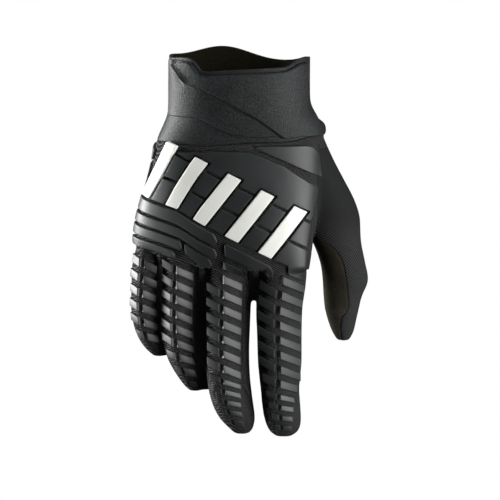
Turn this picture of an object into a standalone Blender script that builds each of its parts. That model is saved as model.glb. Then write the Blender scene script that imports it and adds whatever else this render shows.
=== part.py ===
# A slip-on motocross glove for the right hand, as it hangs when worn: fingers down, back of the hand
# towards -Y, thumb towards +X. The origin is the centre of the wrist opening. Metres, +Z up.

import math

import bmesh
import bpy
from mathutils import Vector
from mathutils.bvhtree import BVHTree

# Driving sizes of the cuff and the hand
WRIST_WIDTH = 0.0775
WRIST_DEPTH = 0.052
CUFF_LENGTH = 0.0405
PALM_WIDTH = 0.098
PALM_DEPTH = 0.040
BACK_LENGTH = 0.0715
HAND_TURN = math.radians(7)
WEB_RISE = 0.32

# Rise of the wrist's rim over the front of the cuff
SIDE_RISE = 0.0045
PEAK_RISE = 0.0088
PEAK_PLACE = -0.010
PEAK_SPREAD = 0.022

# Walls, and the room between two pieces that lie on each other
CUFF_WALL = 0.0024
CLOTH_WALL = 0.0016
SEAM_GAP = 0.0003
SEAT_GAP = 0.0004
BAR_GAP = 0.0005

# Fingers and thumb: full width at the knuckle, length below the webs, place of the knuckle
INDEX_WIDTH = 0.026
INDEX_LENGTH = 0.095
INDEX_PLACE = 0.0235
MIDDLE_WIDTH = 0.025
MIDDLE_LENGTH = 0.095
MIDDLE_PLACE = -0.0065
RING_WIDTH = 0.021
RING_LENGTH = 0.072
RING_PLACE = -0.033
PINKY_WIDTH = 0.016
PINKY_LENGTH = 0.053
PINKY_PLACE = -0.0520
THUMB_WIDTH = 0.032
THUMB_LENGTH = 0.121
THUMB_PLACE = 0.050

# Rubber
RUBBER_HEIGHT = 0.0013
LUG_HEIGHT = 0.0019
RIB_HEIGHT = 0.0017
GROOVE = 0.0018
ROW_SLOPE = 0.50
ROW_TOP = 0.0655
ROW_PITCH = 0.0157
LUG_COUNT = 5
LUG_FIRST = -0.0425
LUG_PITCH = 0.0180
LUG_WIDTH = 0.0072
LUG_LEAN = 0.56
LUG_OVER = 0.0048
LUG_MOAT = 0.0013
FIELD_RIGHT = 0.0430
FIELD_MARGIN = 0.0032
BAR_HEIGHT = 0.0011
BAR_PITCH = 0.0083
BAR_LENGTH = 0.0039
TIP_PITCH = 0.0060
TIP_BAR_LENGTH = 0.0028
SPINE_WIDTH = 0.0016
LAST_BAR = 0.955

# Neoprene panels on the cuff
WRAP_THICK = 0.0014
BAND_THICK = 0.0009

# Where the fingers' cloth is parted from the hand's, and the least number of points in a piece
FINGER_RISE = 0.0030
OFFCUT = 12

# Roundness of the sections: 2 is an ellipse, more is squarer
HAND_ROUND = 2.35
FINGER_ROUND = 2.1

# Fineness of the solids
HAND_SIDES = 24
HAND_LINING_SIDES = 16
FINGER_SIDES = 12
FINGER_LINING_SIDES = 8
CELL = 0.0060
CUFF_CELL = 0.0065
FLAT_ANGLE = math.radians(2)
SHORT_EDGE = 0.000002

# The cuff, from above the rim downwards. down is a share of CUFF_LENGTH, left and right of WRIST_WIDTH,
# front and rear of WRIST_DEPTH.
CUFF_SECTIONS = [
    # down, left, right, front, rear
    (-0.40, -0.500, 0.495, 0.50, 0.50),
    (0.00, -0.500, 0.495, 0.50, 0.50),
    (0.30, -0.502, 0.495, 0.49, 0.49),
    (0.52, -0.504, 0.502, 0.47, 0.47),
    (0.68, -0.516, 0.545, 0.46, 0.46),
    (0.83, -0.548, 0.582, 0.45, 0.45),
]

# The hand, from the cuff's edge to the webs. down is a share of BACK_LENGTH, left and right of
# PALM_WIDTH, front and rear of PALM_DEPTH.
HAND_SECTIONS = [
    # down, left, right, front, rear
    (0.00, -0.463, 0.470, 0.56, 0.56),
    (0.18, -0.486, 0.464, 0.52, 0.55),
    (0.33, -0.513, 0.453, 0.50, 0.54),
    (0.47, -0.540, 0.443, 0.48, 0.52),
    (0.61, -0.566, 0.430, 0.46, 0.49),
    (0.75, -0.582, 0.415, 0.43, 0.45),
    (0.88, -0.590, 0.404, 0.37, 0.39),
    (1.00, -0.590, 0.392, 0.29, 0.30),
]

# Fingers and thumb. down is a share of the length, the rest of the width: across and rear move the
# section's centre, half and deep are its half width and half depth.
INDEX_SECTIONS = [
    # down, across, half, rear, deep
    (-0.18, -0.02, 0.44, 0.000, 0.42),
    (0.00, 0.00, 0.51, 0.005, 0.50),
    (0.10, -0.02, 0.51, 0.010, 0.47),
    (0.23, -0.07, 0.495, 0.020, 0.455),
    (0.40, -0.07, 0.475, 0.035, 0.44),
    (0.56, -0.06, 0.465, 0.065, 0.43),
    (0.71, -0.055, 0.415, 0.105, 0.39),
    (0.84, -0.015, 0.405, 0.140, 0.37),
    (0.92, 0.02, 0.37, 0.170, 0.33),
    (0.967, 0.03, 0.29, 0.185, 0.25),
    (0.992, 0.025, 0.16, 0.190, 0.13),
]
MIDDLE_SECTIONS = [
    # down, across, half, rear, deep
    (-0.18, 0.00, 0.44, 0.12, 0.44),
    (0.00, 0.01, 0.505, 0.135, 0.505),
    (0.16, 0.00, 0.505, 0.145, 0.47),
    (0.34, -0.01, 0.49, 0.16, 0.45),
    (0.50, -0.015, 0.475, 0.19, 0.44),
    (0.65, 0.00, 0.48, 0.24, 0.43),
    (0.79, 0.08, 0.46, 0.30, 0.40),
    (0.89, 0.19, 0.395, 0.36, 0.33),
    (0.955, 0.28, 0.265, 0.40, 0.22),
    (0.988, 0.30, 0.15, 0.415, 0.12),
]
RING_SECTIONS = [
    # down, across, half, rear, deep
    (-0.24, 0.00, 0.46, 0.33, 0.46),
    (0.00, 0.01, 0.495, 0.34, 0.51),
    (0.18, 0.00, 0.495, 0.38, 0.48),
    (0.38, -0.01, 0.485, 0.45, 0.46),
    (0.59, 0.02, 0.47, 0.55, 0.44),
    (0.73, 0.10, 0.44, 0.62, 0.41),
    (0.85, 0.25, 0.37, 0.69, 0.34),
    (0.93, 0.34, 0.27, 0.74, 0.25),
    (0.98, 0.39, 0.16, 0.76, 0.14),
]
PINKY_SECTIONS = [
    # down, across, half, rear, deep
    (-0.26, 0.10, 0.38, 0.60, 0.42),
    (0.00, 0.02, 0.51, 0.66, 0.54),
    (0.21, -0.03, 0.48, 0.74, 0.52),
    (0.43, -0.05, 0.49, 0.84, 0.50),
    (0.65, 0.02, 0.46, 0.96, 0.46),
    (0.79, 0.14, 0.40, 1.05, 0.40),
    (0.90, 0.31, 0.32, 1.12, 0.31),
    (0.97, 0.46, 0.20, 1.16, 0.20),
]
THUMB_SECTIONS = [
    # down, across, half, rear, deep
    (0.00, -0.50, 0.30, 0.12, 0.36),
    (0.10, -0.40, 0.36, 0.18, 0.42),
    (0.17, -0.325, 0.41, 0.20, 0.46),
    (0.25, -0.22, 0.465, 0.23, 0.48),
    (0.33, -0.10, 0.50, 0.27, 0.485),
    (0.41, 0.00, 0.50, 0.31, 0.47),
    (0.50, 0.07, 0.45, 0.34, 0.43),
    (0.54, 0.12, 0.415, 0.355, 0.40),
    (0.63, 0.215, 0.39, 0.375, 0.37),
    (0.71, 0.26, 0.395, 0.39, 0.355),
    (0.78, 0.215, 0.335, 0.39, 0.32),
    (0.84, 0.20, 0.295, 0.385, 0.285),
    (0.90, 0.205, 0.24, 0.38, 0.235),
    (0.95, 0.22, 0.18, 0.37, 0.18),
    (0.985, 0.225, 0.10, 0.36, 0.11),
]

# Where a finger's rubber sits: the turn of its ridge from the front, how far the bars reach round to
# the left and to the right of it, the first bar below the webs, the numbers of bars, and how many of
# the first ones the left column lacks.
BAR_LAYOUT = {
    # finger: ridge, left, right (degrees), start (share of the length), bars, tip bars, missing
    "index": (-3, 62, 62, 0.025, 8, 4, 1),
    "middle": (-16, 56, 50, -0.062, 8, 6, 2),
    "ring": (-19, 40, 52, -0.030, 8, 2, 0),
    "pinky": (-17, 50, 52, -0.090, 6, 0, 0),
}
BAR_STEP = math.radians(24)

BLACK_KNIT = (0.012, 0.013, 0.014, 1)
BLACK_NEOPRENE = (0.015, 0.016, 0.017, 1)
BROWN_LEATHER = (0.020, 0.018, 0.013, 1)
GREY_RUBBER = (0.030, 0.033, 0.035, 1)
WHITE_RUBBER = (0.78, 0.79, 0.76, 1)
CLOTH_ROUGHNESS = 0.85
RUBBER_ROUGHNESS = 0.45

WEB_Z = -(CUFF_LENGTH + BACK_LENGTH)
FAR = 0.20


def cleared_collection(name):
    collection = bpy.data.collections.new(name)
    bpy.context.scene.collection.children.link(collection)
    return collection


for leftover in list(bpy.data.objects):
    bpy.data.objects.remove(leftover)
GLOVE = cleared_collection("motocross_glove")
CUTTERS = cleared_collection("cutters")


# Meshes and Booleans


def finish_mesh(bm, name, collection):
    bmesh.ops.recalc_face_normals(bm, faces=bm.faces)
    mesh = bpy.data.meshes.new(name)
    bm.to_mesh(mesh)
    bm.free()
    made = bpy.data.objects.new(name, mesh)
    collection.objects.link(made)
    if collection is CUTTERS:
        made.hide_render = True
        made.display_type = "WIRE"
    return made


def loft(name, rings, domed=False):
    """A closed solid through rings that have the same number of points, its ends flat or fanned."""
    bm = bmesh.new()
    rows = [[bm.verts.new(point) for point in ring] for ring in rings]
    count = len(rows[0])
    for upper, lower in zip(rows, rows[1:]):
        for i in range(count):
            j = (i + 1) % count
            bm.faces.new((upper[i], upper[j], lower[j], lower[i]))
    ends = [bm.faces.new(rows[0]), bm.faces.new(list(reversed(rows[-1])))]
    if domed:
        bmesh.ops.poke(bm, faces=ends)
    bmesh.ops.triangulate(bm, faces=bm.faces)
    return finish_mesh(bm, name, CUTTERS)


def combined(base, tool, operation, name):
    """The EXACT Boolean of two objects, as a new cutter object."""
    step = base.modifiers.new("step", "BOOLEAN")
    step.operation = operation
    step.solver = "EXACT"
    step.object = tool
    depsgraph = bpy.context.evaluated_depsgraph_get()
    mesh = bpy.data.meshes.new_from_object(base.evaluated_get(depsgraph))
    base.modifiers.remove(step)
    made = bpy.data.objects.new(name, mesh)
    CUTTERS.objects.link(made)
    made.hide_render = True
    made.display_type = "WIRE"
    return made


def joined(parts, name):
    whole = parts[0]
    for part in parts[1:]:
        whole = combined(whole, part, "UNION", name)
    return whole


def bodies_in(bm):
    """The sets of vertices that hang together in a mesh, largest first."""
    unseen = set(bm.verts)
    bodies = []
    while unseen:
        start = unseen.pop()
        body, edge = {start}, [start]
        while edge:
            vertex = edge.pop()
            for link in vertex.link_edges:
                other = link.other_vert(vertex)
                if other in unseen:
                    unseen.remove(other)
                    body.add(other)
                    edge.append(other)
        bodies.append(body)
    return sorted(bodies, key=len, reverse=True)


def cleaned(made):
    """The mesh that a cut made, with its flat faces made whole again."""
    bm = bmesh.new()
    bm.from_mesh(made.data)
    bmesh.ops.remove_doubles(bm, verts=bm.verts, dist=SHORT_EDGE)
    bmesh.ops.dissolve_limit(bm, angle_limit=FLAT_ANGLE, verts=bm.verts, edges=bm.edges)
    bmesh.ops.triangulate(bm, faces=bm.faces)
    return bm


def each_body(made):
    """Every body that a cut made, largest first, as a solid of its own. Offcuts are left out."""
    solids = []
    for place in range(sum(1 for body in bodies_in(cleaned(made)) if len(body) > OFFCUT)):
        bm = cleaned(made)
        keep = bodies_in(bm)[place]
        bmesh.ops.delete(bm, geom=[v for v in bm.verts if v not in keep], context="VERTS")
        solids.append(finish_mesh(bm, "body", CUTTERS))
    return solids


def as_piece(made, name, colour, roughness):
    """Moves a finished solid into the glove and gives it its material."""
    made.name = name
    made.hide_render = False
    made.display_type = "TEXTURED"
    for home in list(made.users_collection):
        home.objects.unlink(made)
    GLOVE.objects.link(made)
    paint = bpy.data.materials.new(name)
    paint.use_nodes = True
    shader = paint.node_tree.nodes["Principled BSDF"]
    shader.inputs["Base Color"].default_value = colour
    shader.inputs["Roughness"].default_value = roughness
    shader.inputs["Metallic"].default_value = 0.0
    made.data.materials.clear()
    made.data.materials.append(paint)
    return made


# Sections


def power_curve(angle, power):
    c, s = math.cos(angle), math.sin(angle)
    return (
        math.copysign(abs(c) ** (2 / power), c),
        math.copysign(abs(s) ** (2 / power), s),
    )


def hand_rows():
    """Each section of the cuff and the hand: height, left, right, front, rear, turn and wall."""
    rows = []
    for down, left, right, front, rear in CUFF_SECTIONS:
        rows.append((
            -down * CUFF_LENGTH, left * WRIST_WIDTH, right * WRIST_WIDTH,
            front * WRIST_DEPTH, rear * WRIST_DEPTH, 0.0, CUFF_WALL,
        ))
    for down, left, right, front, rear in HAND_SECTIONS:
        rows.append((
            -CUFF_LENGTH - down * BACK_LENGTH, left * PALM_WIDTH, right * PALM_WIDTH,
            front * PALM_DEPTH, rear * PALM_DEPTH, min(1.0, 0.3 + down) * HAND_TURN, CLOTH_WALL,
        ))
    return rows


def web_height(x, z):
    """The webs rise towards the little finger, and the sections above them less and less."""
    share = max(0.0, min(1.0, (-z - CUFF_LENGTH) / BACK_LENGTH)) ** 3
    return z + share * WEB_RISE * max(0.0, RING_PLACE + RING_WIDTH / 2 - x)


def hand_ring(row, inset):
    height, left, right, front, rear, turn, wall = row
    middle = (left + right) / 2
    half = (right - left) / 2 - inset * wall
    points = []
    sides = HAND_LINING_SIDES if inset else HAND_SIDES
    for i in range(sides):
        across, deep = power_curve(2 * math.pi * i / sides, HAND_ROUND)
        x = across * half
        y = deep * ((rear if deep > 0 else front) - inset * wall)
        turned_x = middle + x * math.cos(turn) + y * math.sin(turn)
        turned_y = y * math.cos(turn) - x * math.sin(turn)
        lift = inset * wall if height > 0 or height <= WEB_Z + 0.0001 else 0.0
        points.append((turned_x, turned_y, web_height(turned_x, height) + lift))
    return points


FINGERS = {
    "index": (INDEX_SECTIONS, INDEX_WIDTH, INDEX_LENGTH, INDEX_PLACE, WEB_Z),
    "middle": (MIDDLE_SECTIONS, MIDDLE_WIDTH, MIDDLE_LENGTH, MIDDLE_PLACE, WEB_Z),
    "ring": (RING_SECTIONS, RING_WIDTH, RING_LENGTH, RING_PLACE, WEB_Z),
    "pinky": (PINKY_SECTIONS, PINKY_WIDTH, PINKY_LENGTH, PINKY_PLACE, WEB_Z),
    "thumb": (THUMB_SECTIONS, THUMB_WIDTH, THUMB_LENGTH, THUMB_PLACE, -CUFF_LENGTH * 0.85),
}


def finger_row(finger, z):
    """Centre, half width and half depth of a finger at a height, between its two nearest sections."""
    sections, width, length, place, top = FINGERS[finger]
    share = (top - z) / length
    share = max(sections[0][0], min(sections[-1][0], share))
    upper, lower = sections[0], sections[1]
    for first, second in zip(sections, sections[1:]):
        if first[0] <= share:
            upper, lower = first, second
    part = (share - upper[0]) / (lower[0] - upper[0])
    across, half, rear, deep = (a + part * (b - a) for a, b in zip(upper[1:], lower[1:]))
    return place + across * width, rear * width, half * width, deep * width


def finger_solid(finger, inset):
    sections, width, length, place, top = FINGERS[finger]
    rings = []
    sides = FINGER_LINING_SIDES if inset else FINGER_SIDES
    for down, across, half, rear, deep in sections:
        shift = CLOTH_WALL if down > 0.6 else -CLOTH_WALL if down == sections[0][0] else 0.0
        z = top - down * length + inset * shift
        ring = []
        for i in range(sides):
            side, depth = power_curve(2 * math.pi * i / sides, FINGER_ROUND)
            x = place + across * width + side * max(half * width - inset * CLOTH_WALL, 0.0006)
            y = rear * width + depth * max(deep * width - inset * CLOTH_WALL, 0.0006)
            ring.append((x, y, z))
        rings.append(ring)
    return loft(finger + "_tube", rings, True)


def whole_hand(inset, name):
    palm = loft("palm_tube", [hand_ring(row, inset) for row in hand_rows()], True)
    return joined([palm] + [finger_solid(finger, inset) for finger in FINGERS], name)


# Cuts


def rim_height(x, y):
    side = SIDE_RISE * abs(2 * x / WRIST_WIDTH) ** 4
    toward_palm = max(0.0, min(1.0, 0.5 + 2 * y / WRIST_DEPTH))
    peak = PEAK_RISE * math.exp(-(((x - PEAK_PLACE) / PEAK_SPREAD) ** 2))
    return side + toward_palm * peak


def rim_cutter():
    """What lies above the rim: a block whose underside follows the rim."""
    rings = []
    reach = WRIST_WIDTH * 0.7
    for y in (-1.0, -0.22, 0.0, 0.25, 1.0):
        line = [(reach * (i / 6 - 1), y * WRIST_DEPTH) for i in range(13)]
        ring = [(x, depth, rim_height(x, depth)) for x, depth in line]
        rings.append([(-reach, y * WRIST_DEPTH, FAR), *ring, (reach, y * WRIST_DEPTH, FAR)])
    return loft("rim_cutter", rings)


def cuff_edge(x):
    """Height of the cuff's lower edge: it dips before the middle and rises to the thumb's side."""
    dip = 0.055 * math.exp(-(((x / PALM_WIDTH + 0.22) / 0.20) ** 2))
    rise = 0.16 * max(0.0, x / PALM_WIDTH - 0.25) ** 1.5 / 0.25**1.5
    return -CUFF_LENGTH * (1 + dip - rise)


def cuff_cutter(shift):
    """What lies below the cuff's edge."""
    reach = PALM_WIDTH * 0.85
    line = [reach * (i / 8 - 1) for i in range(17)]
    rings = []
    for y in (-FAR, FAR):
        edge = [(x, y, cuff_edge(x) + shift) for x in line]
        rings.append([(-reach, y, -2 * FAR), *edge, (reach, y, -2 * FAR)])
    return loft("cuff_cutter", rings)


def side_cutter(shift):
    """What lies in front of the side seams: a block whose rear follows the fingers' middles."""
    rings = []
    for z in [-CUFF_LENGTH * 0.5] + [WEB_Z * (0.8 + 0.15 * i) for i in range(9)]:
        line = sorted((finger_row(finger, z)[0], finger_row(finger, z)[1]) for finger in FINGERS)
        line = [(-FAR, line[0][1]), *line, (FAR, line[-1][1])]
        ring = [(x, y + shift, z) for x, y in line]
        rings.append([(-FAR, -FAR, z), *ring, (FAR, -FAR, z)])
    return loft("side_cutter", rings)


def prism(name, outline, grow):
    """A block through the hand along Y, on an outline in X and Z that is widened by grow."""
    count = len(outline)
    area = sum(
        outline[i][0] * outline[(i + 1) % count][1] - outline[(i + 1) % count][0] * outline[i][1]
        for i in range(count)
    )
    side = grow if area > 0 else -grow
    wide = []
    for i in range(count):
        before = Vector(outline[i]) - Vector(outline[i - 1])
        after = Vector(outline[(i + 1) % count]) - Vector(outline[i])
        normal = Vector((before.y, -before.x)).normalized() + Vector((after.y, -after.x)).normalized()
        normal.normalize()
        wide.append(Vector(outline[i]) + normal * side)
    return loft(name, [[(p.x, y, p.y) for p in wide] for y in (-FAR, FAR)])


def finger_line(finger, shares, offsets):
    """Points down a finger, each at an offset across it in shares of its half width."""
    sections, width, length, place, top = FINGERS[finger]
    points = []
    for share, offset in zip(shares, offsets):
        z = top - share * length
        x, y, half, deep = finger_row(finger, z)
        points.append((x + offset * half, z))
    return points


# Side panels between two fingers: how far each reaches over the left and the right finger.
PANELS = [
    # name, left finger, offset, right finger, offset
    ("gusset_1", "pinky", 0.76, "ring", -0.90),
    ("gusset_2", "ring", 0.56, "middle", -0.93),
    ("gusset_3", "middle", 0.66, "index", -0.93),
]
PANEL_SHARES = (0.10, 0.30, 0.50, 0.68, 0.86)


def panel_outline(left, left_offset, right, right_offset):
    down_left = finger_line(left, PANEL_SHARES, [left_offset] * 4 + [1.25])
    down_right = finger_line(right, PANEL_SHARES, [right_offset] * 4 + [-1.25])
    (x0, z0), (x1, z1) = down_left[0], down_right[0]
    centre, radius = (x0 + x1) / 2, (x1 - x0) / 2
    spring = web_height(centre, WEB_Z) - 0.1 * radius
    arch = [
        (centre - radius * math.cos(math.pi * i / 5), spring + radius * math.sin(math.pi * i / 5))
        for i in range(6)
    ]
    return list(reversed(down_left)) + arch + down_right


def thumb_outline():
    """The thumb's inner panel: along its seam, then round the thumb's inner side."""
    seam = finger_line(
        "thumb",
        (0.505, 0.52, 0.56, 0.62, 0.70, 0.78, 0.86, 0.93, 1.04),
        (-1.02, -0.60, -0.25, 0.02, 0.05, 0.28, 0.30, -0.15, -0.10),
    )
    around = finger_line("thumb", (1.04, 0.75, 0.56), (-3.0, -1.45, -1.12))
    return seam + around


# Where the cloth of the fingers and the thumb is parted from the hand's
FINGER_ORDER = ("pinky", "ring", "middle", "index")


def midway(left, right, z):
    """Half way between two fingers at a height."""
    left_x, _, left_half, _ = finger_row(left, z)
    right_x, _, right_half, _ = finger_row(right, z)
    return (left_x + left_half + right_x - right_half) / 2


def above_webs(x):
    return web_height(x, WEB_Z) + FINGER_RISE


def finger_block(finger):
    """A block round one finger, from a little above its webs to beyond its tip."""
    place = FINGER_ORDER.index(finger)
    right = (*FINGER_ORDER, "thumb")[place + 1]
    levels = [WEB_Z * share for share in (1.15, 1.35, 1.60, 2.00)]
    if place == 0:
        left_side = [(-FAR, z) for z in levels]
        start = -FAR
    else:
        left = FINGER_ORDER[place - 1]
        left_side = [(midway(left, finger, z), z) for z in levels]
        start = midway(left, finger, WEB_Z)
    end = midway(finger, right, WEB_Z)
    corner = RING_PLACE + RING_WIDTH / 2
    top = [(x, above_webs(x)) for x in (start, corner, end) if start <= x <= end]
    right_side = [(midway(finger, right, z), z) for z in levels]
    return prism(finger + "_block", [*top, *right_side, *reversed(left_side)], -SEAM_GAP / 2)


def thumb_block(grow):
    """A block round the thumb, from its root on the cuff's side down along the hand's edge."""
    root = finger_line("thumb", (0.10, 0.30, 0.505), (0.35, -0.42, -1.02))
    down = [(midway("index", "thumb", WEB_Z * share), WEB_Z * share) for share in (0.95, 1.15, 1.60)]
    return prism("thumb_block", [(FAR, root[0][1]), *root, *down, (FAR, down[-1][1])], grow)


def fingers_block(grow):
    """A block round the four fingers, from a little above their webs."""
    top = [(x, above_webs(x)) for x in (-FAR, RING_PLACE + RING_WIDTH / 2, FAR)]
    return prism("fingers_block", [*top, (FAR, 3 * WEB_Z), (-FAR, 3 * WEB_Z)], grow)


def parted(cloth, kind, hand_name, colour):
    """A side of the glove's cloth as its pieces: each finger's, the thumb's and the hand's own."""
    pieces = {f"{kind}_{finger}": (finger_block(finger), "INTERSECT") for finger in FINGER_ORDER}
    pieces[f"{kind}_thumb"] = (thumb_block(-SEAM_GAP / 2), "INTERSECT")
    pieces[hand_name] = (fingers_block(SEAM_GAP / 2), "DIFFERENCE")
    for name, (block, operation) in pieces.items():
        piece = combined(cloth, block, operation, "cloth")
        if name == hand_name:
            piece = combined(piece, thumb_block(SEAM_GAP / 2), "DIFFERENCE", "cloth")
        as_piece(each_body(piece)[0], name, colour, CLOTH_ROUGHNESS)


# The hand's surface, and plates that lie on it


WRAP_TURN_LEFT = -0.022
WRAP_RADIUS = 0.030
WRAP_CENTRE = 0.008
CUFF_TURN = 0.010
CUFF_WRAP_RADIUS = 0.031


def tree_of(made):
    return BVHTree.FromObject(made, bpy.context.evaluated_depsgraph_get())


def ray_to_axis(u, z, left, right, radius, centre):
    """Straight in from the front between left and right, and round a vertical axis beyond them."""
    if left <= u <= right:
        return Vector((u, centre - FAR, z)), Vector((0, 1, 0))
    corner = left if u < left else right
    angle = (corner - u) / radius
    inward = Vector((math.sin(angle), math.cos(angle), 0))
    return Vector((corner, centre, z)) - inward * FAR, inward


def seat(start, inward):
    """Where a line in towards the hand meets its skin, or the skin's nearest point beside it."""
    hit = SKIN.ray_cast(start, inward)[0]
    if hit is None:
        hit = SKIN.find_nearest(start + inward * (FAR - 0.01))[0]
    return hit, -inward


def high_seat(u, z, wrap, cell):
    """The seat of a plate's point, as high as the skin stands half a cell around it."""
    start, inward = ray_to_axis(u, z, *wrap)
    depth = (seat(start, inward)[0] - start).dot(inward)
    for du, dz in ((-1, 0), (1, 0), (0, -1), (0, 1)):
        near = ray_to_axis(u + du * cell / 2, z + dz * cell / 2, *wrap)
        hit = SKIN.ray_cast(*near)[0]
        if hit is not None:
            depth = min(depth, (hit - near[0]).dot(near[1]))
    return start + inward * depth, -inward


def on_hand(u, z):
    return high_seat(u, z, (WRAP_TURN_LEFT, FAR, WRAP_RADIUS, WRAP_CENTRE), CELL)


def on_cuff(u, z):
    return high_seat(u, z, (-CUFF_TURN, CUFF_TURN, CUFF_WRAP_RADIUS, 0.0), CUFF_CELL)


def field_right(z):
    """How far the rubber reaches towards the thumb at a height."""
    rows = hand_rows()
    edge = rows[-1][2]
    for upper, lower in zip(rows, rows[1:]):
        if lower[0] <= z <= upper[0]:
            edge = upper[2] + (lower[2] - upper[2]) * (upper[0] - z) / (upper[0] - lower[0])
    return min(FIELD_RIGHT, edge - FIELD_MARGIN)


def field_end(q):
    """Where row line q meets the right edge of the rubber."""
    end = FIELD_RIGHT
    for _ in range(6):
        end = field_right(on_row(end, q)[1])
    return end


def plate(name, outline, place, low, high, cell):
    """A plate on an outline in (u, z), laid on the surface that place gives."""
    bm = bmesh.new()
    bm.faces.new([bm.verts.new((u, z, 0)) for u, z in outline])
    for axis in (0, 1):
        values = [point[axis] for point in outline]
        first, last = math.ceil(min(values) / cell), math.floor(max(values) / cell)
        for k in range(first, last + 1):
            spot, normal = Vector((0, 0, 0)), Vector((0, 0, 0))
            spot[axis], normal[axis] = k * cell, 1
            everything = bm.verts[:] + bm.edges[:] + bm.faces[:]
            bmesh.ops.bisect_plane(bm, geom=everything, dist=cell / 12, plane_co=spot, plane_no=normal)
    bmesh.ops.triangulate(bm, faces=bm.faces)
    under = bm.verts[:]
    raised = bmesh.ops.extrude_face_region(bm, geom=bm.faces[:])["geom"]
    over = [item for item in raised if isinstance(item, bmesh.types.BMVert)]
    for vertices, lift in ((under, low), (over, high)):
        for vertex in vertices:
            spot, outward = place(vertex.co.x, vertex.co.y)
            vertex.co = spot + outward * lift
    return finish_mesh(bm, name, CUTTERS)


def rounded(outline, radius, steps=2):
    """The outline with its corners rounded, or a corner as it is where its radius is 0."""
    count = len(outline)
    radii = radius if isinstance(radius, (list, tuple)) else [radius] * count
    soft = []
    for i, corner in enumerate(outline):
        if radii[i] == 0:
            soft.append(corner)
            continue
        middle = Vector(corner)
        back = Vector(outline[i - 1]) - middle
        ahead = Vector(outline[(i + 1) % count]) - middle
        cut = min(radii[i], back.length * 0.45, ahead.length * 0.45)
        start, end = middle + back.normalized() * cut, middle + ahead.normalized() * cut
        for k in range(steps + 1):
            t = k / steps
            point = start * (1 - t) ** 2 + middle * 2 * t * (1 - t) + end * t * t
            soft.append((point.x, point.y))
    return soft


# Rows of rubber on the back of the hand. q is the depth of a row's line below the rim at u = 0.


def on_row(u, q):
    """The height at u of the row line q, which eases towards level round the hand's outer side."""
    eased = u + 0.45 * max(0.0, WRAP_TURN_LEFT - 0.5 * WRAP_RADIUS - u)
    return (u, -q - ROW_SLOPE * eased)


def along_row(u0, u1, q, steps):
    return [on_row(u0 + (u1 - u0) * k / steps, q) for k in range(steps + 1)]


def lug_side(k, q, right):
    """Where the side of white lug k meets row line q."""
    return LUG_FIRST + k * LUG_PITCH + (LUG_WIDTH if right else 0) - LUG_LEAN * (q - ROW_TOP + LUG_OVER)


ROW_2 = ROW_TOP + ROW_PITCH
ROW_3 = ROW_TOP + 2 * ROW_PITCH


def rubber(name, outline, height=RUBBER_HEIGHT, cell=CELL, colour=GREY_RUBBER):
    made = plate(name, outline, on_hand, SEAT_GAP, SEAT_GAP + height, cell)
    return as_piece(made, name, colour, RUBBER_ROUGHNESS)


def white_lugs():
    top, bottom = ROW_TOP - LUG_OVER, ROW_3 - GROOVE / 2
    for k in range(LUG_COUNT):
        outline = [
            on_row(lug_side(k, top, False), top), on_row(lug_side(k, top, True), top),
            on_row(lug_side(k, ROW_2, True), ROW_2), on_row(lug_side(k, bottom, True), bottom),
            on_row(lug_side(k, bottom, False), bottom), on_row(lug_side(k, ROW_2, False), ROW_2),
        ]
        rubber(f"lug_{k + 1}", outline, LUG_HEIGHT, CELL, WHITE_RUBBER)


def tile_rows():
    """Two rows of tiles, each to the right of a lug; the last of a row is by the index knuckle."""
    for row, (upper, lower) in enumerate(((ROW_TOP, ROW_2), (ROW_2, ROW_3))):
        top, bottom = upper + GROOVE / 2, lower - GROOVE / 2
        for k in range(LUG_COUNT):
            left_top = lug_side(k, top, True) + LUG_MOAT
            left_bottom = lug_side(k, bottom, True) + LUG_MOAT
            if k == LUG_COUNT - 1:
                right_top, right_bottom = field_end(top), field_end(bottom)
            else:
                right_top = lug_side(k + 1, top, False) - LUG_MOAT
                right_bottom = lug_side(k + 1, bottom, False) - LUG_MOAT
            outline = along_row(left_top, right_top, top, 2)
            outline += along_row(right_bottom, left_bottom, bottom, 2)
            rubber(f"tile_{row + 1}_{k + 1}", outline)


def main_plate():
    """The large plate under the cuff, notched round the tops of the lugs, and the corner plate."""
    lower = ROW_TOP - GROOVE / 2
    notch = ROW_TOP - LUG_OVER - LUG_MOAT
    edge = []
    for k in range(1, LUG_COUNT):
        edge += [
            on_row(lug_side(k, lower, False) - LUG_MOAT, lower),
            on_row(lug_side(k, notch, False) - LUG_MOAT, notch),
            on_row(lug_side(k, notch, True) + LUG_MOAT, notch),
            on_row(lug_side(k, lower, True) + LUG_MOAT, lower),
        ]
    start = lug_side(0, lower, True) + LUG_MOAT
    brow = CUFF_LENGTH + 2 * GROOVE
    outline = [on_row(start, lower), *edge, on_row(field_end(lower), lower)]
    outline += [(FIELD_RIGHT, on_row(FIELD_RIGHT, CUFF_LENGTH)[1] - 0.30 * ROW_PITCH)]
    outline += [(FIELD_RIGHT * 0.55, -brow - 0.62 * ROW_PITCH), (FIELD_RIGHT * 0.14, -brow - GROOVE)]
    outline += [(-0.5 * FIELD_RIGHT, -brow - 0.7 * GROOVE), (lug_side(1, notch, True), -brow - GROOVE)]
    rubber("plate_main", outline)


def corner_plate():
    brow = CUFF_LENGTH + 1.2 * GROOVE
    outline = rounded(
        [
            (FIELD_RIGHT * 0.14 + 2.6 * GROOVE, -brow),
            (FIELD_RIGHT, -brow),
            (FIELD_RIGHT + GROOVE, on_row(FIELD_RIGHT, CUFF_LENGTH)[1] + 0.10 * ROW_PITCH),
            (FIELD_RIGHT * 0.55, -brow - 0.62 * ROW_PITCH + GROOVE),
            (FIELD_RIGHT * 0.14 + GROOVE, -brow - 0.5 * GROOVE),
        ],
        [0, 0.009, 0.001, 0, 0],
        3,
    )
    rubber("plate_corner", outline)


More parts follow.
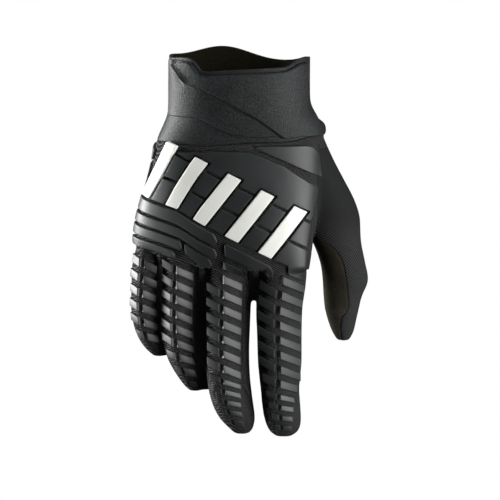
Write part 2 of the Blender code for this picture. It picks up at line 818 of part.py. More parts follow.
# Ribs below the tiles: lengths across in shares of PALM_WIDTH, tops and heights in shares of ROW_PITCH.
RIBS = [
    # name, from, to, top, height
    ("rib_1", -0.690, -0.125, 0.06, 0.45),
    ("rib_2", -0.705, -0.125, 0.62, 0.35),
    ("rib_3", -0.715, -0.365, 1.08, 0.36),
    ("rib_4", -0.725, -0.455, 1.58, 0.30),
    ("bridge_1", -0.345, -0.135, 1.07, 0.38),
    ("bridge_2", -0.085, 0.215, 0.22, 0.46),
]


def ribs():
    for name, start, end, top, height in RIBS:
        q0 = ROW_3 + top * ROW_PITCH
        q1 = q0 + height * ROW_PITCH
        steps = max(2, round((end - start) * PALM_WIDTH / CELL / 1.6))
        outline = along_row(start * PALM_WIDTH, end * PALM_WIDTH - 0.3 * (q1 - q0), q0, steps)
        outline += [on_row(end * PALM_WIDTH, (q0 + q1) / 2)]
        outline += along_row(end * PALM_WIDTH - 0.3 * (q1 - q0), start * PALM_WIDTH, q1, steps)
        rubber(name, outline, RIB_HEIGHT)


# Blocks on the hand's outer side: corners in shares of PALM_WIDTH across and of BACK_LENGTH below
# the cuff.
SIDE_BLOCKS = {
    "side_upper": ((-0.690, -0.030), (-0.560, -0.075), (-0.600, -0.160), (-0.705, -0.120)),
    "side_lower": ((-0.700, -0.170), (-0.610, -0.200), (-0.690, -0.420), (-0.730, -0.390)),
}


def side_blocks():
    for name, corners in SIDE_BLOCKS.items():
        outline = [(u * PALM_WIDTH, -CUFF_LENGTH + down * BACK_LENGTH) for u, down in corners]
        rubber(name, rounded(outline, 0.0008, 1))


# Bars down the fingers


def on_finger(finger, angle, z):
    """The skin's point at an angle round a finger's axis, 0 in front and positive to the right."""
    x, y, half, deep = finger_row(finger, z)
    outward = Vector((math.sin(angle) / half, -math.cos(angle) / deep, 0)).normalized()
    target = Vector((x + half * math.sin(angle), y - deep * math.cos(angle), z))
    room = half if z > WEB_Z - BAR_PITCH else BAR_GAP + 0.6 * half * math.cos(angle) ** 2
    over = 0.0
    around = [(turn * BAR_STEP / 2, 0.0) for turn in (-1, 0, 1)]
    around += [(0.0, rise * BAR_LENGTH) for rise in (-1, 1)]
    for turn, rise in around:
        near = Vector((x + half * math.sin(angle + turn), y - deep * math.cos(angle + turn), z + rise))
        hit = SKIN.ray_cast(near + outward * room, -outward)[0]
        if hit is not None:
            over = max(over, (hit - near).dot(outward))
    return target + outward * over, outward


def bar_heights(finger):
    """Top and bottom of each bar on a finger's ridge."""
    *_, start, count, tip_count, _ = BAR_LAYOUT[finger]
    _, _, length, _, top = FINGERS[finger]
    z = top - start * length
    heights = []
    for i in range(count):
        heights.append((z, z - BAR_LENGTH))
        z -= BAR_PITCH
    for i in range(tip_count):
        heights.append((z, z - TIP_BAR_LENGTH))
        z -= TIP_PITCH
    last = top - LAST_BAR * length
    return [(upper, lower) for upper, lower in heights if lower > last]


def finger_strip(finger):
    """Two columns of slanting bars on one strip: the column between them runs on from bar to bar."""
    ridge, left, right, *_, missing = BAR_LAYOUT[finger]
    _, width, length, _, top = FINGERS[finger]
    edge = SPINE_WIDTH / width
    left_steps = math.ceil((math.radians(left) - edge) / BAR_STEP)
    right_steps = math.ceil((math.radians(right) - edge) / BAR_STEP)
    bm = bmesh.new()
    out = bm.verts.layers.float_vector.new("out")
    rows = []
    for upper, lower in bar_heights(finger):
        share = 1.0 - (top - upper) / length
        taper = min(1.0, 1.25 * share + 0.45)
        slope = ROW_SLOPE * max(0.0, min(1.0, 2.2 * share))
        left_end, right_end = math.radians(left) * taper, math.radians(right) * taper
        turns = [-left_end + (left_end - edge) * k / left_steps for k in range(left_steps + 1)]
        turns += [edge + (right_end - edge) * k / right_steps for k in range(right_steps + 1)]
        for z in (upper, lower):
            half = finger_row(finger, z)[2]
            row = []
            for turn in turns:
                spot, outward = on_finger(finger, math.radians(ridge) + turn, z - slope * turn * half)
                vertex = bm.verts.new(spot)
                vertex[out] = outward
                row.append(vertex)
            rows.append(row)
    for r, (above, below) in enumerate(zip(rows, rows[1:])):
        whole_bar = r % 2 == 0
        for c in range(len(above) - 1):
            if c == left_steps or whole_bar and (c > left_steps or r >= 2 * missing):
                bm.faces.new((above[c], above[c + 1], below[c + 1], below[c]))
    loose = [vertex for vertex in bm.verts if not vertex.link_faces]
    bmesh.ops.delete(bm, geom=loose, context="VERTS")
    under = bm.verts[:]
    raised = bmesh.ops.extrude_face_region(bm, geom=bm.faces[:])["geom"]
    over = [item for item in raised if isinstance(item, bmesh.types.BMVert)]
    for vertices, lift in ((under, BAR_GAP), (over, BAR_GAP + BAR_HEIGHT)):
        for vertex in vertices:
            vertex.co += vertex[out] * lift
    bmesh.ops.triangulate(bm, faces=bm.faces)
    strip = finish_mesh(bm, finger + "_strip", CUTTERS)
    as_piece(strip, finger + "_bars", GREY_RUBBER, RUBBER_ROUGHNESS)


# Neoprene panels on the front of the cuff. across is a share of WRIST_WIDTH round the cuff, down a
# share of CUFF_LENGTH below the front of the rim.
WRAP_OUTLINE = [
    # across, down, corner radius
    (-0.36, 0.02, 0), (-0.20, 0.06, 0), (0.00, 0.06, 0), (0.20, 0.05, 0), (0.36, -0.02, 0),
    (0.56, -0.06, 0.002), (0.58, 0.50, 0), (0.76, 0.80, 0.006), (0.52, 0.90, 0), (0.33, 0.92, 0),
    (0.17, 0.75, 0), (-0.02, 0.56, 0), (-0.20, 0.38, 0), (-0.38, 0.27, 0), (-0.42, 0.14, 0),
]
BAND_OUTLINE = [
    # across, down, corner radius
    (-0.52, -0.06, 0.002), (-0.41, 0.02, 0), (-0.45, 0.18, 0), (-0.40, 0.33, 0), (-0.21, 0.43, 0),
    (-0.03, 0.61, 0), (0.15, 0.80, 0), (0.25, 0.92, 0), (0.02, 0.94, 0), (-0.16, 0.85, 0),
    (-0.33, 0.72, 0), (-0.66, 0.70, 0.005), (-0.66, -0.08, 0.002),
]


def cuff_panel(name, table, thick):
    outline = [(across * WRIST_WIDTH, -down * CUFF_LENGTH) for across, down, radius in table]
    outline = rounded(outline, [radius for across, down, radius in table])
    made = plate(name, outline, on_cuff, SEAT_GAP, SEAT_GAP + thick, CUFF_CELL)
    as_piece(made, name, BLACK_NEOPRENE, CLOTH_ROUGHNESS)


# The glove, from its skin outwards

outer = whole_hand(0, "outer")
inner = whole_hand(1, "inner")
SKIN = tree_of(outer)
shell = combined(outer, inner, "DIFFERENCE", "shell")
shell = combined(shell, rim_cutter(), "DIFFERENCE", "shell")

sleeve = combined(shell, cuff_cutter(SEAM_GAP / 2), "DIFFERENCE", "sleeve")
as_piece(each_body(sleeve)[0], "cuff_sleeve", BLACK_NEOPRENE, CLOTH_ROUGHNESS)
hand = combined(shell, cuff_cutter(-SEAM_GAP / 2), "INTERSECT", "hand")

panel = combined(hand, prism("thumb_cutter", thumb_outline(), 0.0), "INTERSECT", "panel")
as_piece(each_body(panel)[0], "thumb_leather", BROWN_LEATHER, CLOTH_ROUGHNESS)
hand = combined(hand, prism("thumb_cutter", thumb_outline(), SEAM_GAP), "DIFFERENCE", "hand")

for panel_name, left, left_offset, right, right_offset in PANELS:
    outline = panel_outline(left, left_offset, right, right_offset)
    panel = combined(hand, prism("gusset_cutter", outline, 0.0), "INTERSECT", "panel")
    for side, gusset in zip("abcd", each_body(panel)):
        as_piece(gusset, f"{panel_name}_{side}", BLACK_KNIT, CLOTH_ROUGHNESS)
    hand = combined(hand, prism("gusset_cutter", outline, SEAM_GAP), "DIFFERENCE", "hand")

front = combined(hand, side_cutter(-SEAM_GAP / 2), "INTERSECT", "front")
rear = combined(hand, side_cutter(SEAM_GAP / 2), "DIFFERENCE", "rear")
parted(front, "knit", "knit_back", BLACK_KNIT)
parted(rear, "leather", "leather_palm", BROWN_LEATHER)

cuff_panel("cuff_wrap", WRAP_OUTLINE, WRAP_THICK)
cuff_panel("cuff_band", BAND_OUTLINE, BAND_THICK)

main_plate()
corner_plate()
tile_rows()
white_lugs()
ribs()
side_blocks()
for finger in BAR_LAYOUT:
    finger_strip(finger)
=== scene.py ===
import math

import bmesh
import bpy
import numpy as np
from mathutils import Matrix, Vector
from mathutils.bvhtree import BVHTree


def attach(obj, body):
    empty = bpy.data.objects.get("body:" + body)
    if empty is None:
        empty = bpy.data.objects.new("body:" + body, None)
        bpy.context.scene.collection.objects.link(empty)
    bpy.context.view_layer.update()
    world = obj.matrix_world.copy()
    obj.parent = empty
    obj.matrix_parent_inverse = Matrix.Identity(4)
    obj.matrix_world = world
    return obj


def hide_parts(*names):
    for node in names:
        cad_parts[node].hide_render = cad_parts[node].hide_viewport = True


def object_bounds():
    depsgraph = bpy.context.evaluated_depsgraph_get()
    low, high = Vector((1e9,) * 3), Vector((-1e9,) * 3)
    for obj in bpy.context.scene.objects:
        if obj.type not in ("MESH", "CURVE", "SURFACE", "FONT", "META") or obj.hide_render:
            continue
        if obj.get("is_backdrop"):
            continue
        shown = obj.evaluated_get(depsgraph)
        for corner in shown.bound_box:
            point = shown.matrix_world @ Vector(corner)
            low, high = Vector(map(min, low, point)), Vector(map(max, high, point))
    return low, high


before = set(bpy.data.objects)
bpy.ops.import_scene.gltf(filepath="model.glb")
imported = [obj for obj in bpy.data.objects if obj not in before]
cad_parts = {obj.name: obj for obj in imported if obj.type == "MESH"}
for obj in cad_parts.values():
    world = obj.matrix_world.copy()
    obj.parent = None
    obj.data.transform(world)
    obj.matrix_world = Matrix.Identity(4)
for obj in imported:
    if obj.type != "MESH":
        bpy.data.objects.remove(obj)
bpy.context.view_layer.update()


# Hand
#
# The cloth follows the hand in it. The palm with the wrist, the four fingers and the thumb are closed
# bodies, joined by webs into one smooth skin. The cloth is cut from this skin and the rubber is laid
# on it. Metres; the wrist opening's centre is the origin.

WRIST_WIDTH, WRIST_DEPTH, CUFF_LENGTH = 0.0775, 0.052, 0.0405
PALM_WIDTH, PALM_DEPTH, BACK_LENGTH = 0.098, 0.040, 0.0715
HAND_TURN = math.radians(7)
WEB_Z = -(CUFF_LENGTH + BACK_LENGTH)

cuff_rows = [
    # down, left, right, front, rear: shares of the cuff's length and of the wrist's width and depth
    (-0.40, -0.500, 0.495, 0.50, 0.50),
    (0.00, -0.500, 0.495, 0.50, 0.50),
    (0.30, -0.502, 0.495, 0.49, 0.49),
    (0.52, -0.504, 0.502, 0.47, 0.47),
    (0.68, -0.516, 0.545, 0.46, 0.46),
    (0.83, -0.548, 0.582, 0.45, 0.45),
]
hand_rows = [
    # down, left, right, front, rear: shares of the back's length and of the palm's width and depth
    (0.00, -0.463, 0.470, 0.56, 0.56),
    (0.18, -0.486, 0.464, 0.52, 0.55),
    (0.33, -0.513, 0.453, 0.50, 0.54),
    (0.47, -0.540, 0.443, 0.48, 0.52),
    (0.61, -0.566, 0.430, 0.46, 0.49),
    (0.75, -0.582, 0.415, 0.43, 0.45),
    (0.88, -0.590, 0.404, 0.37, 0.39),
    (1.00, -0.590, 0.392, 0.29, 0.30),
]
fingers = {
    # width, length, place across the hand and height of the root, and then the sections, as shares
    # of the length and the width: down, across, half width, rearward, half depth
    "index": (0.026, 0.095, 0.0235, WEB_Z, [
        (-0.18, -0.02, 0.44, 0.000, 0.42), (0.00, 0.00, 0.51, 0.005, 0.50),
        (0.10, -0.02, 0.51, 0.010, 0.47), (0.23, -0.07, 0.495, 0.020, 0.455),
        (0.40, -0.07, 0.475, 0.035, 0.44), (0.56, -0.06, 0.465, 0.065, 0.43),
        (0.71, -0.055, 0.415, 0.105, 0.39), (0.84, -0.015, 0.405, 0.140, 0.37),
        (0.92, 0.02, 0.37, 0.170, 0.33), (0.967, 0.03, 0.29, 0.185, 0.25),
        (0.992, 0.025, 0.16, 0.190, 0.13),
    ]),
    "middle": (0.025, 0.095, -0.0065, WEB_Z, [
        (-0.18, 0.00, 0.44, 0.12, 0.44), (0.00, 0.01, 0.505, 0.135, 0.505),
        (0.16, 0.00, 0.505, 0.145, 0.47), (0.34, -0.01, 0.49, 0.16, 0.45),
        (0.50, -0.015, 0.475, 0.19, 0.44), (0.65, 0.00, 0.48, 0.24, 0.43),
        (0.79, 0.08, 0.46, 0.30, 0.40), (0.89, 0.19, 0.395, 0.36, 0.33),
        (0.955, 0.28, 0.265, 0.40, 0.22), (0.988, 0.30, 0.15, 0.415, 0.12),
    ]),
    "ring": (0.021, 0.072, -0.033, WEB_Z, [
        (-0.24, 0.00, 0.46, 0.33, 0.46), (0.00, 0.01, 0.495, 0.34, 0.51),
        (0.18, 0.00, 0.495, 0.38, 0.48), (0.38, -0.01, 0.485, 0.45, 0.46),
        (0.59, 0.02, 0.47, 0.55, 0.44), (0.73, 0.10, 0.44, 0.62, 0.41),
        (0.85, 0.25, 0.37, 0.69, 0.34), (0.93, 0.34, 0.27, 0.74, 0.25),
        (0.98, 0.39, 0.16, 0.76, 0.14),
    ]),
    "pinky": (0.016, 0.053, -0.052, WEB_Z, [
        (-0.26, 0.10, 0.38, 0.60, 0.42), (0.00, 0.02, 0.51, 0.66, 0.54),
        (0.21, -0.03, 0.48, 0.74, 0.52), (0.43, -0.05, 0.49, 0.84, 0.50),
        (0.65, 0.02, 0.46, 0.96, 0.46), (0.79, 0.14, 0.40, 1.05, 0.40),
        (0.90, 0.31, 0.32, 1.12, 0.31), (0.97, 0.46, 0.20, 1.16, 0.20),
    ]),
    "thumb": (0.032, 0.121, 0.050, -0.85 * CUFF_LENGTH, [
        (0.00, -0.50, 0.30, 0.12, 0.36), (0.10, -0.40, 0.36, 0.18, 0.42),
        (0.17, -0.325, 0.41, 0.20, 0.46), (0.25, -0.22, 0.465, 0.23, 0.48),
        (0.33, -0.10, 0.50, 0.27, 0.485), (0.41, 0.00, 0.50, 0.31, 0.47),
        (0.50, 0.07, 0.45, 0.34, 0.43), (0.54, 0.12, 0.415, 0.355, 0.40),
        (0.63, 0.215, 0.39, 0.375, 0.37), (0.71, 0.26, 0.395, 0.39, 0.355),
        (0.78, 0.215, 0.335, 0.39, 0.32), (0.84, 0.20, 0.295, 0.385, 0.285),
        (0.90, 0.205, 0.24, 0.38, 0.235), (0.95, 0.22, 0.18, 0.37, 0.18),
        (0.985, 0.225, 0.10, 0.36, 0.11),
    ]),
}


def eased_rows(table, places):
    """The table's rows at other places down it, through a smooth curve in each column."""
    table = np.array(table)
    down = table[:, 0]
    made = []
    for place in places:
        place = min(max(place, down[0]), down[-1])
        i = min(int(np.searchsorted(down, place, side="right")) - 1, len(down) - 2)
        width = down[i + 1] - down[i]
        t = (place - down[i]) / width
        before = (table[i + 1] - table[max(i - 1, 0)]) / (down[i + 1] - down[max(i - 1, 0)])
        last = min(i + 2, len(down) - 1)
        after = (table[last] - table[i]) / (down[last] - down[i])
        made.append(
            table[i] * (2 * t**3 - 3 * t**2 + 1) + before * width * (t**3 - 2 * t**2 + t)
            + table[i + 1] * (3 * t**2 - 2 * t**3) + after * width * (t**3 - t**2)
        )
    return np.array(made)


OUTER_WEBS, WEB_SLOPE = -0.0225, 0.32


def web_height(x, z):
    """The webs rise towards the little finger, and the back of the hand with them."""
    share = max(0.0, min(1.0, (-z - CUFF_LENGTH) / BACK_LENGTH)) ** 3
    return z + share * WEB_SLOPE * max(0.0, OUTER_WEBS - x)


def tube(name, rings):
    """A closed body through rings of points."""
    count = len(rings[0])
    points = [point for ring in rings for point in ring]
    faces = []
    for r in range(len(rings) - 1):
        for i in range(count):
            j = (i + 1) % count
            faces.append((r * count + i, r * count + j, (r + 1) * count + j, (r + 1) * count + i))
    faces.append(tuple(range(count)))
    faces.append(tuple(reversed(range((len(rings) - 1) * count, len(rings) * count))))
    mesh = bpy.data.meshes.new(name)
    mesh.from_pydata(points, [], faces)
    mesh.update()
    body = bpy.data.objects.new(name, mesh)
    bpy.context.scene.collection.objects.link(body)
    return body


def oval(angle, power):
    """A point of an oval that is rounder the nearer the power is to 2."""
    c, s = math.cos(angle), math.sin(angle)
    return math.copysign(abs(c) ** (2 / power), c), math.copysign(abs(s) ** (2 / power), s)


palm_table = []
for down, left, right, front, rear in cuff_rows:
    palm_table.append((
        down * CUFF_LENGTH, left * WRIST_WIDTH, right * WRIST_WIDTH,
        front * WRIST_DEPTH, rear * WRIST_DEPTH, 0.0,
    ))
for down, left, right, front, rear in hand_rows:
    palm_table.append((
        CUFF_LENGTH + down * BACK_LENGTH, left * PALM_WIDTH, right * PALM_WIDTH,
        front * PALM_DEPTH, rear * PALM_DEPTH, min(1.0, 0.3 + down) * HAND_TURN,
    ))


HAND_ROUND, HAND_SIDES = 2.35, 72
OUTER_SET_BACK, OUTER_FROM = 0.095, 0.004


def palm_ring(row):
    down, left, right, front, rear, turn = row
    points = []
    for i in range(HAND_SIDES):
        across, deep = oval(2 * math.pi * i / HAND_SIDES, HAND_ROUND)
        x = across * (right - left) / 2
        y = deep * (rear if deep > 0 else front)
        turned = (left + right) / 2 + x * math.cos(turn) + y * math.sin(turn)
        depth = y * math.cos(turn) - x * math.sin(turn)
        toward_web = max(0.0, min(1.0, (down - CUFF_LENGTH) / BACK_LENGTH)) ** 2
        depth += toward_web * OUTER_SET_BACK * max(0.0, OUTER_FROM - turned)
        points.append((turned, depth, web_height(turned, -down)))
    return points


def finger_row(finger, z):
    """Centre, half width and half depth of a finger at a height."""
    width, length, place, top, table = fingers[finger]
    down, across, half, rear, deep = eased_rows(table, [(top - z) / length])[0]
    return place + across * width, rear * width, half * width, deep * width


FINGER_ROUND, FINGER_SIDES, FINGER_RINGS = 2.1, 48, 46
ROOF_FLATNESS, LEAST_ROUND = 1.55, 0.35
TIP_RATE, TIP_LAG, TUCK_RATE = 4, 2.6, 1.5
ridges = {"index": -0.12, "middle": -0.29, "ring": -0.32, "pinky": -0.28}
left_flatness = {"index": 4.0, "middle": 3.2}
tucks = {"ring": 0.52, "middle": 0.04, "pinky": 0.24}


def finger_rings(finger):
    """
    The fingers' fronts are two faces that meet at a ridge, under their two columns of bars, and turn
    round towards the tips. A tuck widens a finger's rear side, so that it closes the gap to the next.
    """
    width, length, place, top, table = fingers[finger]
    rings = []
    places = np.linspace(table[0][0], table[-1][0], FINGER_RINGS)
    for down, across, half, rear, deep in eased_rows(table, places):
        ring = []
        for i in range(FINGER_SIDES):
            side, depth = oval(2 * math.pi * i / FINGER_SIDES, FINGER_ROUND)
            if finger in ridges and depth < 0:
                ridge = ridges[finger]
                reach = 1 + ridge if side < ridge else 1 - ridge
                flatness = left_flatness.get(finger, ROOF_FLATNESS) if side < ridge else ROOF_FLATNESS
                roof = -(1 - (abs(side - ridge) / reach) ** flatness)
                roundness = max(LEAST_ROUND, min(1.0, TIP_RATE * down - TIP_LAG))
                depth = depth * roundness + roof * (1 - roundness)
            tuck = tucks.get(finger, 0.0) * max(0.0, min(1.0, TUCK_RATE * depth)) * max(0.0, side)
            x = place + (across + side * half + tuck) * width
            ring.append((x, (rear + depth * deep) * width, top - down * length))
        rings.append(ring)
    return rings


FORM_TOP, FORM_END, FORM_RINGS = -0.0162, 0.112, 60
WEB_START, WEB_RINGS, WEB_THICK, WEB_FORWARD = -0.098, 14, 0.0068, 0.0100
WEB_LEAST, WEB_OVERLAP, WEB_NARROWING, WEB_THINNING = 0.0030, 0.0028, 0.75, 0.80

rows = eased_rows(palm_table, np.linspace(FORM_TOP, FORM_END, FORM_RINGS))
bodies = [tube("form", [palm_ring(row) for row in rows])]
bodies += [tube(finger, finger_rings(finger)) for finger in fingers]
for left, right, low_end, back in (
    ("pinky", "ring", -0.153, 0.006), ("ring", "middle", -0.138, 0.004), ("middle", "index", -0.130, 0.002),
):
    rings = []
    for z in np.linspace(WEB_START, low_end, WEB_RINGS):
        x0, y0, half0 = finger_row(left, z)[:3]
        x1, y1, half1 = finger_row(right, z)[:3]
        share = (z - WEB_START) / (low_end - WEB_START)
        wide = max(WEB_LEAST, 0.5 * ((x1 - half1) - (x0 + half0)) + WEB_OVERLAP)
        wide *= 1 - WEB_NARROWING * share**3
        thick = WEB_THICK * (1 - WEB_THINNING * share**3)
        x = 0.5 * (x0 + half0 + x1 - half1)
        y = 0.5 * (y0 + y1) + back - WEB_FORWARD * max(0.0, 1 - 1.1 * share) ** 1.2
        rings.append([
            (x + wide * math.cos(a), y + thick * math.sin(a), z)
            for a in np.linspace(0, 2 * math.pi, 16, endpoint=False)
        ])
    bodies.append(tube("web", rings))
bpy.ops.object.select_all(action="DESELECT")
for body in bodies:
    body.select_set(True)
bpy.context.view_layer.objects.active = bodies[0]
bpy.ops.object.join()
form = bpy.context.active_object
remesh = form.modifiers.new("one skin", "REMESH")
remesh.mode = "VOXEL"
remesh.voxel_size = 0.0010
bpy.ops.object.modifier_apply(modifier="one skin")
relax = form.modifiers.new("soft", "SMOOTH")
relax.factor = 0.5
relax.iterations = 11
bpy.ops.object.modifier_apply(modifier="soft")

skin = BVHTree.FromObject(form, bpy.context.evaluated_depsgraph_get())


# Seams
#
# The skin is cut along the seams of the glove and drawn in there a little, as stitching does, and
# parted into six pieces: the cuff's sleeve, the knit of the back, the knit of the thumb, the side
# panels between the fingers, the thumb's inner panel and the palm.

rim_front = [
    # across, height (mm): high over the folded flap on the left, a dip, and up again to the right
    (-39, 4.2), (-33, 5.3), (-27.5, 5.2), (-25, 3.4), (-21, -1.6), (-18, -2.1), (-9, -1.5),
    (4, -0.8), (14, -0.3), (25, 0.2), (28.5, 1.4), (33, 4.2), (36, 5.0), (39, 4.4),
]
RIM_SIDES, RIM_PEAK, PEAK_PLACE, PEAK_WIDTH = 0.0045, 0.0088, -0.010, 0.022


def rim_height(x, y):
    """The cuff's edge: the front's own line, and a peak over the palm."""
    side = RIM_SIDES * abs(2 * x / WRIST_WIDTH) ** 4
    toward_palm = np.clip(0.5 + 2 * y / WRIST_DEPTH, 0, 1)
    peak = RIM_PEAK * np.exp(-(((x - PEAK_PLACE) / PEAK_WIDTH) ** 2))
    front = np.interp(x, [0.001 * row[0] for row in rim_front], [0.001 * row[1] for row in rim_front])
    return toward_palm * (side + peak) + (1 - toward_palm) * front


EDGE_DIP, DIP_PLACE, DIP_WIDTH = 0.055, -0.22, 0.20
EDGE_RISE, RISE_FROM = 0.16, 0.25


def cuff_edge(x):
    """The seam between the cuff and the hand: it sags left of the middle and rises to the right."""
    dip = EDGE_DIP * np.exp(-(((x / PALM_WIDTH - DIP_PLACE) / DIP_WIDTH) ** 2))
    rise = EDGE_RISE * np.maximum(0.0, x / PALM_WIDTH - RISE_FROM) ** 1.5 / RISE_FROM**1.5
    return -CUFF_LENGTH * (1 + dip - rise)


def inside_of(outline, points):
    """Signed distance of points in X and Z to an outline, positive inside it."""
    a = np.array(outline)
    b = np.roll(a, -1, axis=0)
    near = np.full(len(points), 1e9)
    within = np.zeros(len(points), bool)
    for (ax, az), (bx, bz) in zip(a, b):
        px, pz = points[:, 0], points[:, 1]
        along = (px - ax) * (bx - ax) + (pz - az) * (bz - az)
        t = np.clip(along / ((bx - ax) ** 2 + (bz - az) ** 2), 0, 1)
        near = np.minimum(near, np.hypot(px - ax - t * (bx - ax), pz - az - t * (bz - az)))
        crosses = ((az > pz) != (bz > pz)) & (px < (bx - ax) * (pz - az) / (bz - az + 1e-12) + ax)
        within ^= crosses
    return np.where(within, near, -near)


def finger_line(finger, shares, offsets):
    """A line down a finger, at offsets that are shares of its half width."""
    width, length, place, top, table = fingers[finger]
    points = []
    for share, offset in zip(shares, offsets):
        x, y, half, deep = finger_row(finger, top - share * length)
        points.append((x + offset * half, top - share * length))
    return points


def soft_line(points, steps=4):
    """The points with a smooth curve through them."""
    points = np.array(points)
    places = np.linspace(0, len(points) - 1, (len(points) - 1) * steps + 1)
    table = np.column_stack([np.arange(len(points)), points])
    return [tuple(row[1:]) for row in eased_rows(table, places)]


thumb_seam = [
    # across, height (mm): from the crotch over the ball of the thumb, a notch at the joint, the tip
    (40.2, -95.5), (45.1, -97.4), (49.5, -99.6), (52.8, -102.4), (55.0, -105.7), (57.1, -111.2),
    (58.3, -117.9), (59.3, -126.2), (60.0, -133.0), (58.3, -137.3), (55.6, -141.2), (55.8, -153.9),
]
thumb_inner_side = [(50.0, -162.0), (41.5, -135.0), (40.0, -115.0), (39.2, -100.0)]
thumb_outline = [(0.001 * x, 0.001 * z) for x, z in soft_line(thumb_seam) + thumb_inner_side]

PANEL_SHARES, PANEL_END = (0.10, 0.25, 0.40, 0.55, 0.70, 0.86), 1.25
panels = []
for left, left_reach, right, right_reach in (
    ("pinky", 0.78, "ring", -0.93), ("ring", 0.60, "middle", -0.93), ("middle", 0.70, "index", -0.93),
):
    down_left = finger_line(left, PANEL_SHARES, [left_reach] * 5 + [PANEL_END])
    down_right = finger_line(right, PANEL_SHARES, [right_reach] * 5 + [-PANEL_END])
    x0, x1 = down_left[0][0], down_right[0][0]
    centre, radius = (x0 + x1) / 2, (x1 - x0) / 2
    spring = web_height(centre, WEB_Z) - 0.1 * radius
    arch = [
        (centre - radius * math.cos(math.pi * i / 16), spring + radius * math.sin(math.pi * i / 16))
        for i in range(17)
    ]
    panels.append(list(reversed(down_left)) + arch + down_right)


FINGERS_END = WEB_Z * 1.9


def side_seam(points):
    """How far points lie behind the seam that runs down the outer sides of the hand and fingers."""
    behind = np.empty(len(points))
    order = np.argsort(points[:, 2])
    for block in np.array_split(order, 160):
        z = float(points[block, 2].mean())
        z = min(z, -0.5 * CUFF_LENGTH)
        centres = sorted(finger_row(finger, max(z, FINGERS_END))[:2] for finger in fingers)
        xs = [c[0] for c in centres]
        ys = [c[1] for c in centres]
        behind[block] = points[block, 1] - np.interp(points[block, 0], xs, ys)
    return behind


def cut_along(bm, field):
    """Adds an edge line where the field is 0, and returns its points."""
    points = np.array([v.co for v in bm.verts])
    values = field(points)
    bm.verts.ensure_lookup_table()
    bm.verts.index_update()
    fresh = []
    for edge in list(bm.edges):
        a, b = edge.verts
        fa, fb = values[a.index], values[b.index]
        if fa * fb < 0:
            t = fa / (fa - fb)
            fresh.append(bmesh.utils.edge_split(edge, a, t)[1])
    bmesh.ops.connect_verts(bm, verts=fresh)
    return fresh


SEAM_DEPTH = 0.00035
# Where the knit of the back ends and the thumb's own begins: half width of the hand at each height.
THUMB_FROM = [-0.155, -0.105, -0.085, -0.060], [0.020, 0.0405, 0.0425, 0.0425]
THUMB_KNIT_TOP = -0.045
CUFF, KNIT, THUMB_KNIT, SIDE_PANELS, THUMB_PANEL, PALM = range(6)

bm = bmesh.new()
bm.from_mesh(form.data)
cut_along(bm, lambda p: p[:, 2] - rim_height(p[:, 0], p[:, 1]))
above = [f for f in bm.faces if f.calc_center_median().z > rim_height(*f.calc_center_median()[:2])]
bmesh.ops.delete(bm, geom=above, context="FACES")
seams = cut_along(bm, lambda p: p[:, 2] - cuff_edge(p[:, 0]))
seams += cut_along(bm, lambda p: inside_of(thumb_outline, p[:, [0, 2]]))
for outline in panels:
    seams += cut_along(bm, lambda p: inside_of(outline, p[:, [0, 2]]))
seams += cut_along(bm, side_seam)

centres = np.array([f.calc_center_median() for f in bm.faces])
across, height = centres[:, 0], centres[:, 2]
behind = side_seam(centres)
region = np.where(behind > 0, PALM, KNIT)
region[(across > np.interp(height, *THUMB_FROM)) & (behind <= 0) & (height < THUMB_KNIT_TOP)] = THUMB_KNIT
for outline in panels:
    region[inside_of(outline, centres[:, [0, 2]]) > 0] = SIDE_PANELS
region[inside_of(thumb_outline, centres[:, [0, 2]]) > 0] = THUMB_PANEL
region[height > cuff_edge(across)] = CUFF
form.data.materials.clear()
for _ in range(6):
    form.data.materials.append(None)
for face, place in zip(bm.faces, region):
    face.material_index = int(place)
    face.smooth = True
for vertex in seams:
    if vertex.is_valid:
        vertex.co -= vertex.normal * SEAM_DEPTH
bm.to_mesh(form.data)
bm.free()

cloth = {}
for place, name in enumerate(("cuff", "knit", "thumb_knit", "side_panels", "thumb_panel", "palm")):
    piece = form.copy()
    piece.data = form.data.copy()
    piece.name = piece.data.name = name
    bpy.context.scene.collection.objects.link(piece)
    work = bmesh.new()
    work.from_mesh(piece.data)
    others = [f for f in work.faces if f.material_index != place]
    bmesh.ops.delete(work, geom=others, context="FACES")
    for face in work.faces:
        face.material_index = 0
    work.to_mesh(piece.data)
    work.free()
    piece.data.materials.clear()
    cloth[name] = piece
bpy.data.objects.remove(form)


# Cuff sleeve
#
# The sleeve round the wrist is foam neoprene with a close grain, 2.2 mm thick, and is lined with a
# brushed brown black cloth. It is sewn to the hand along the cuff's lower seam.


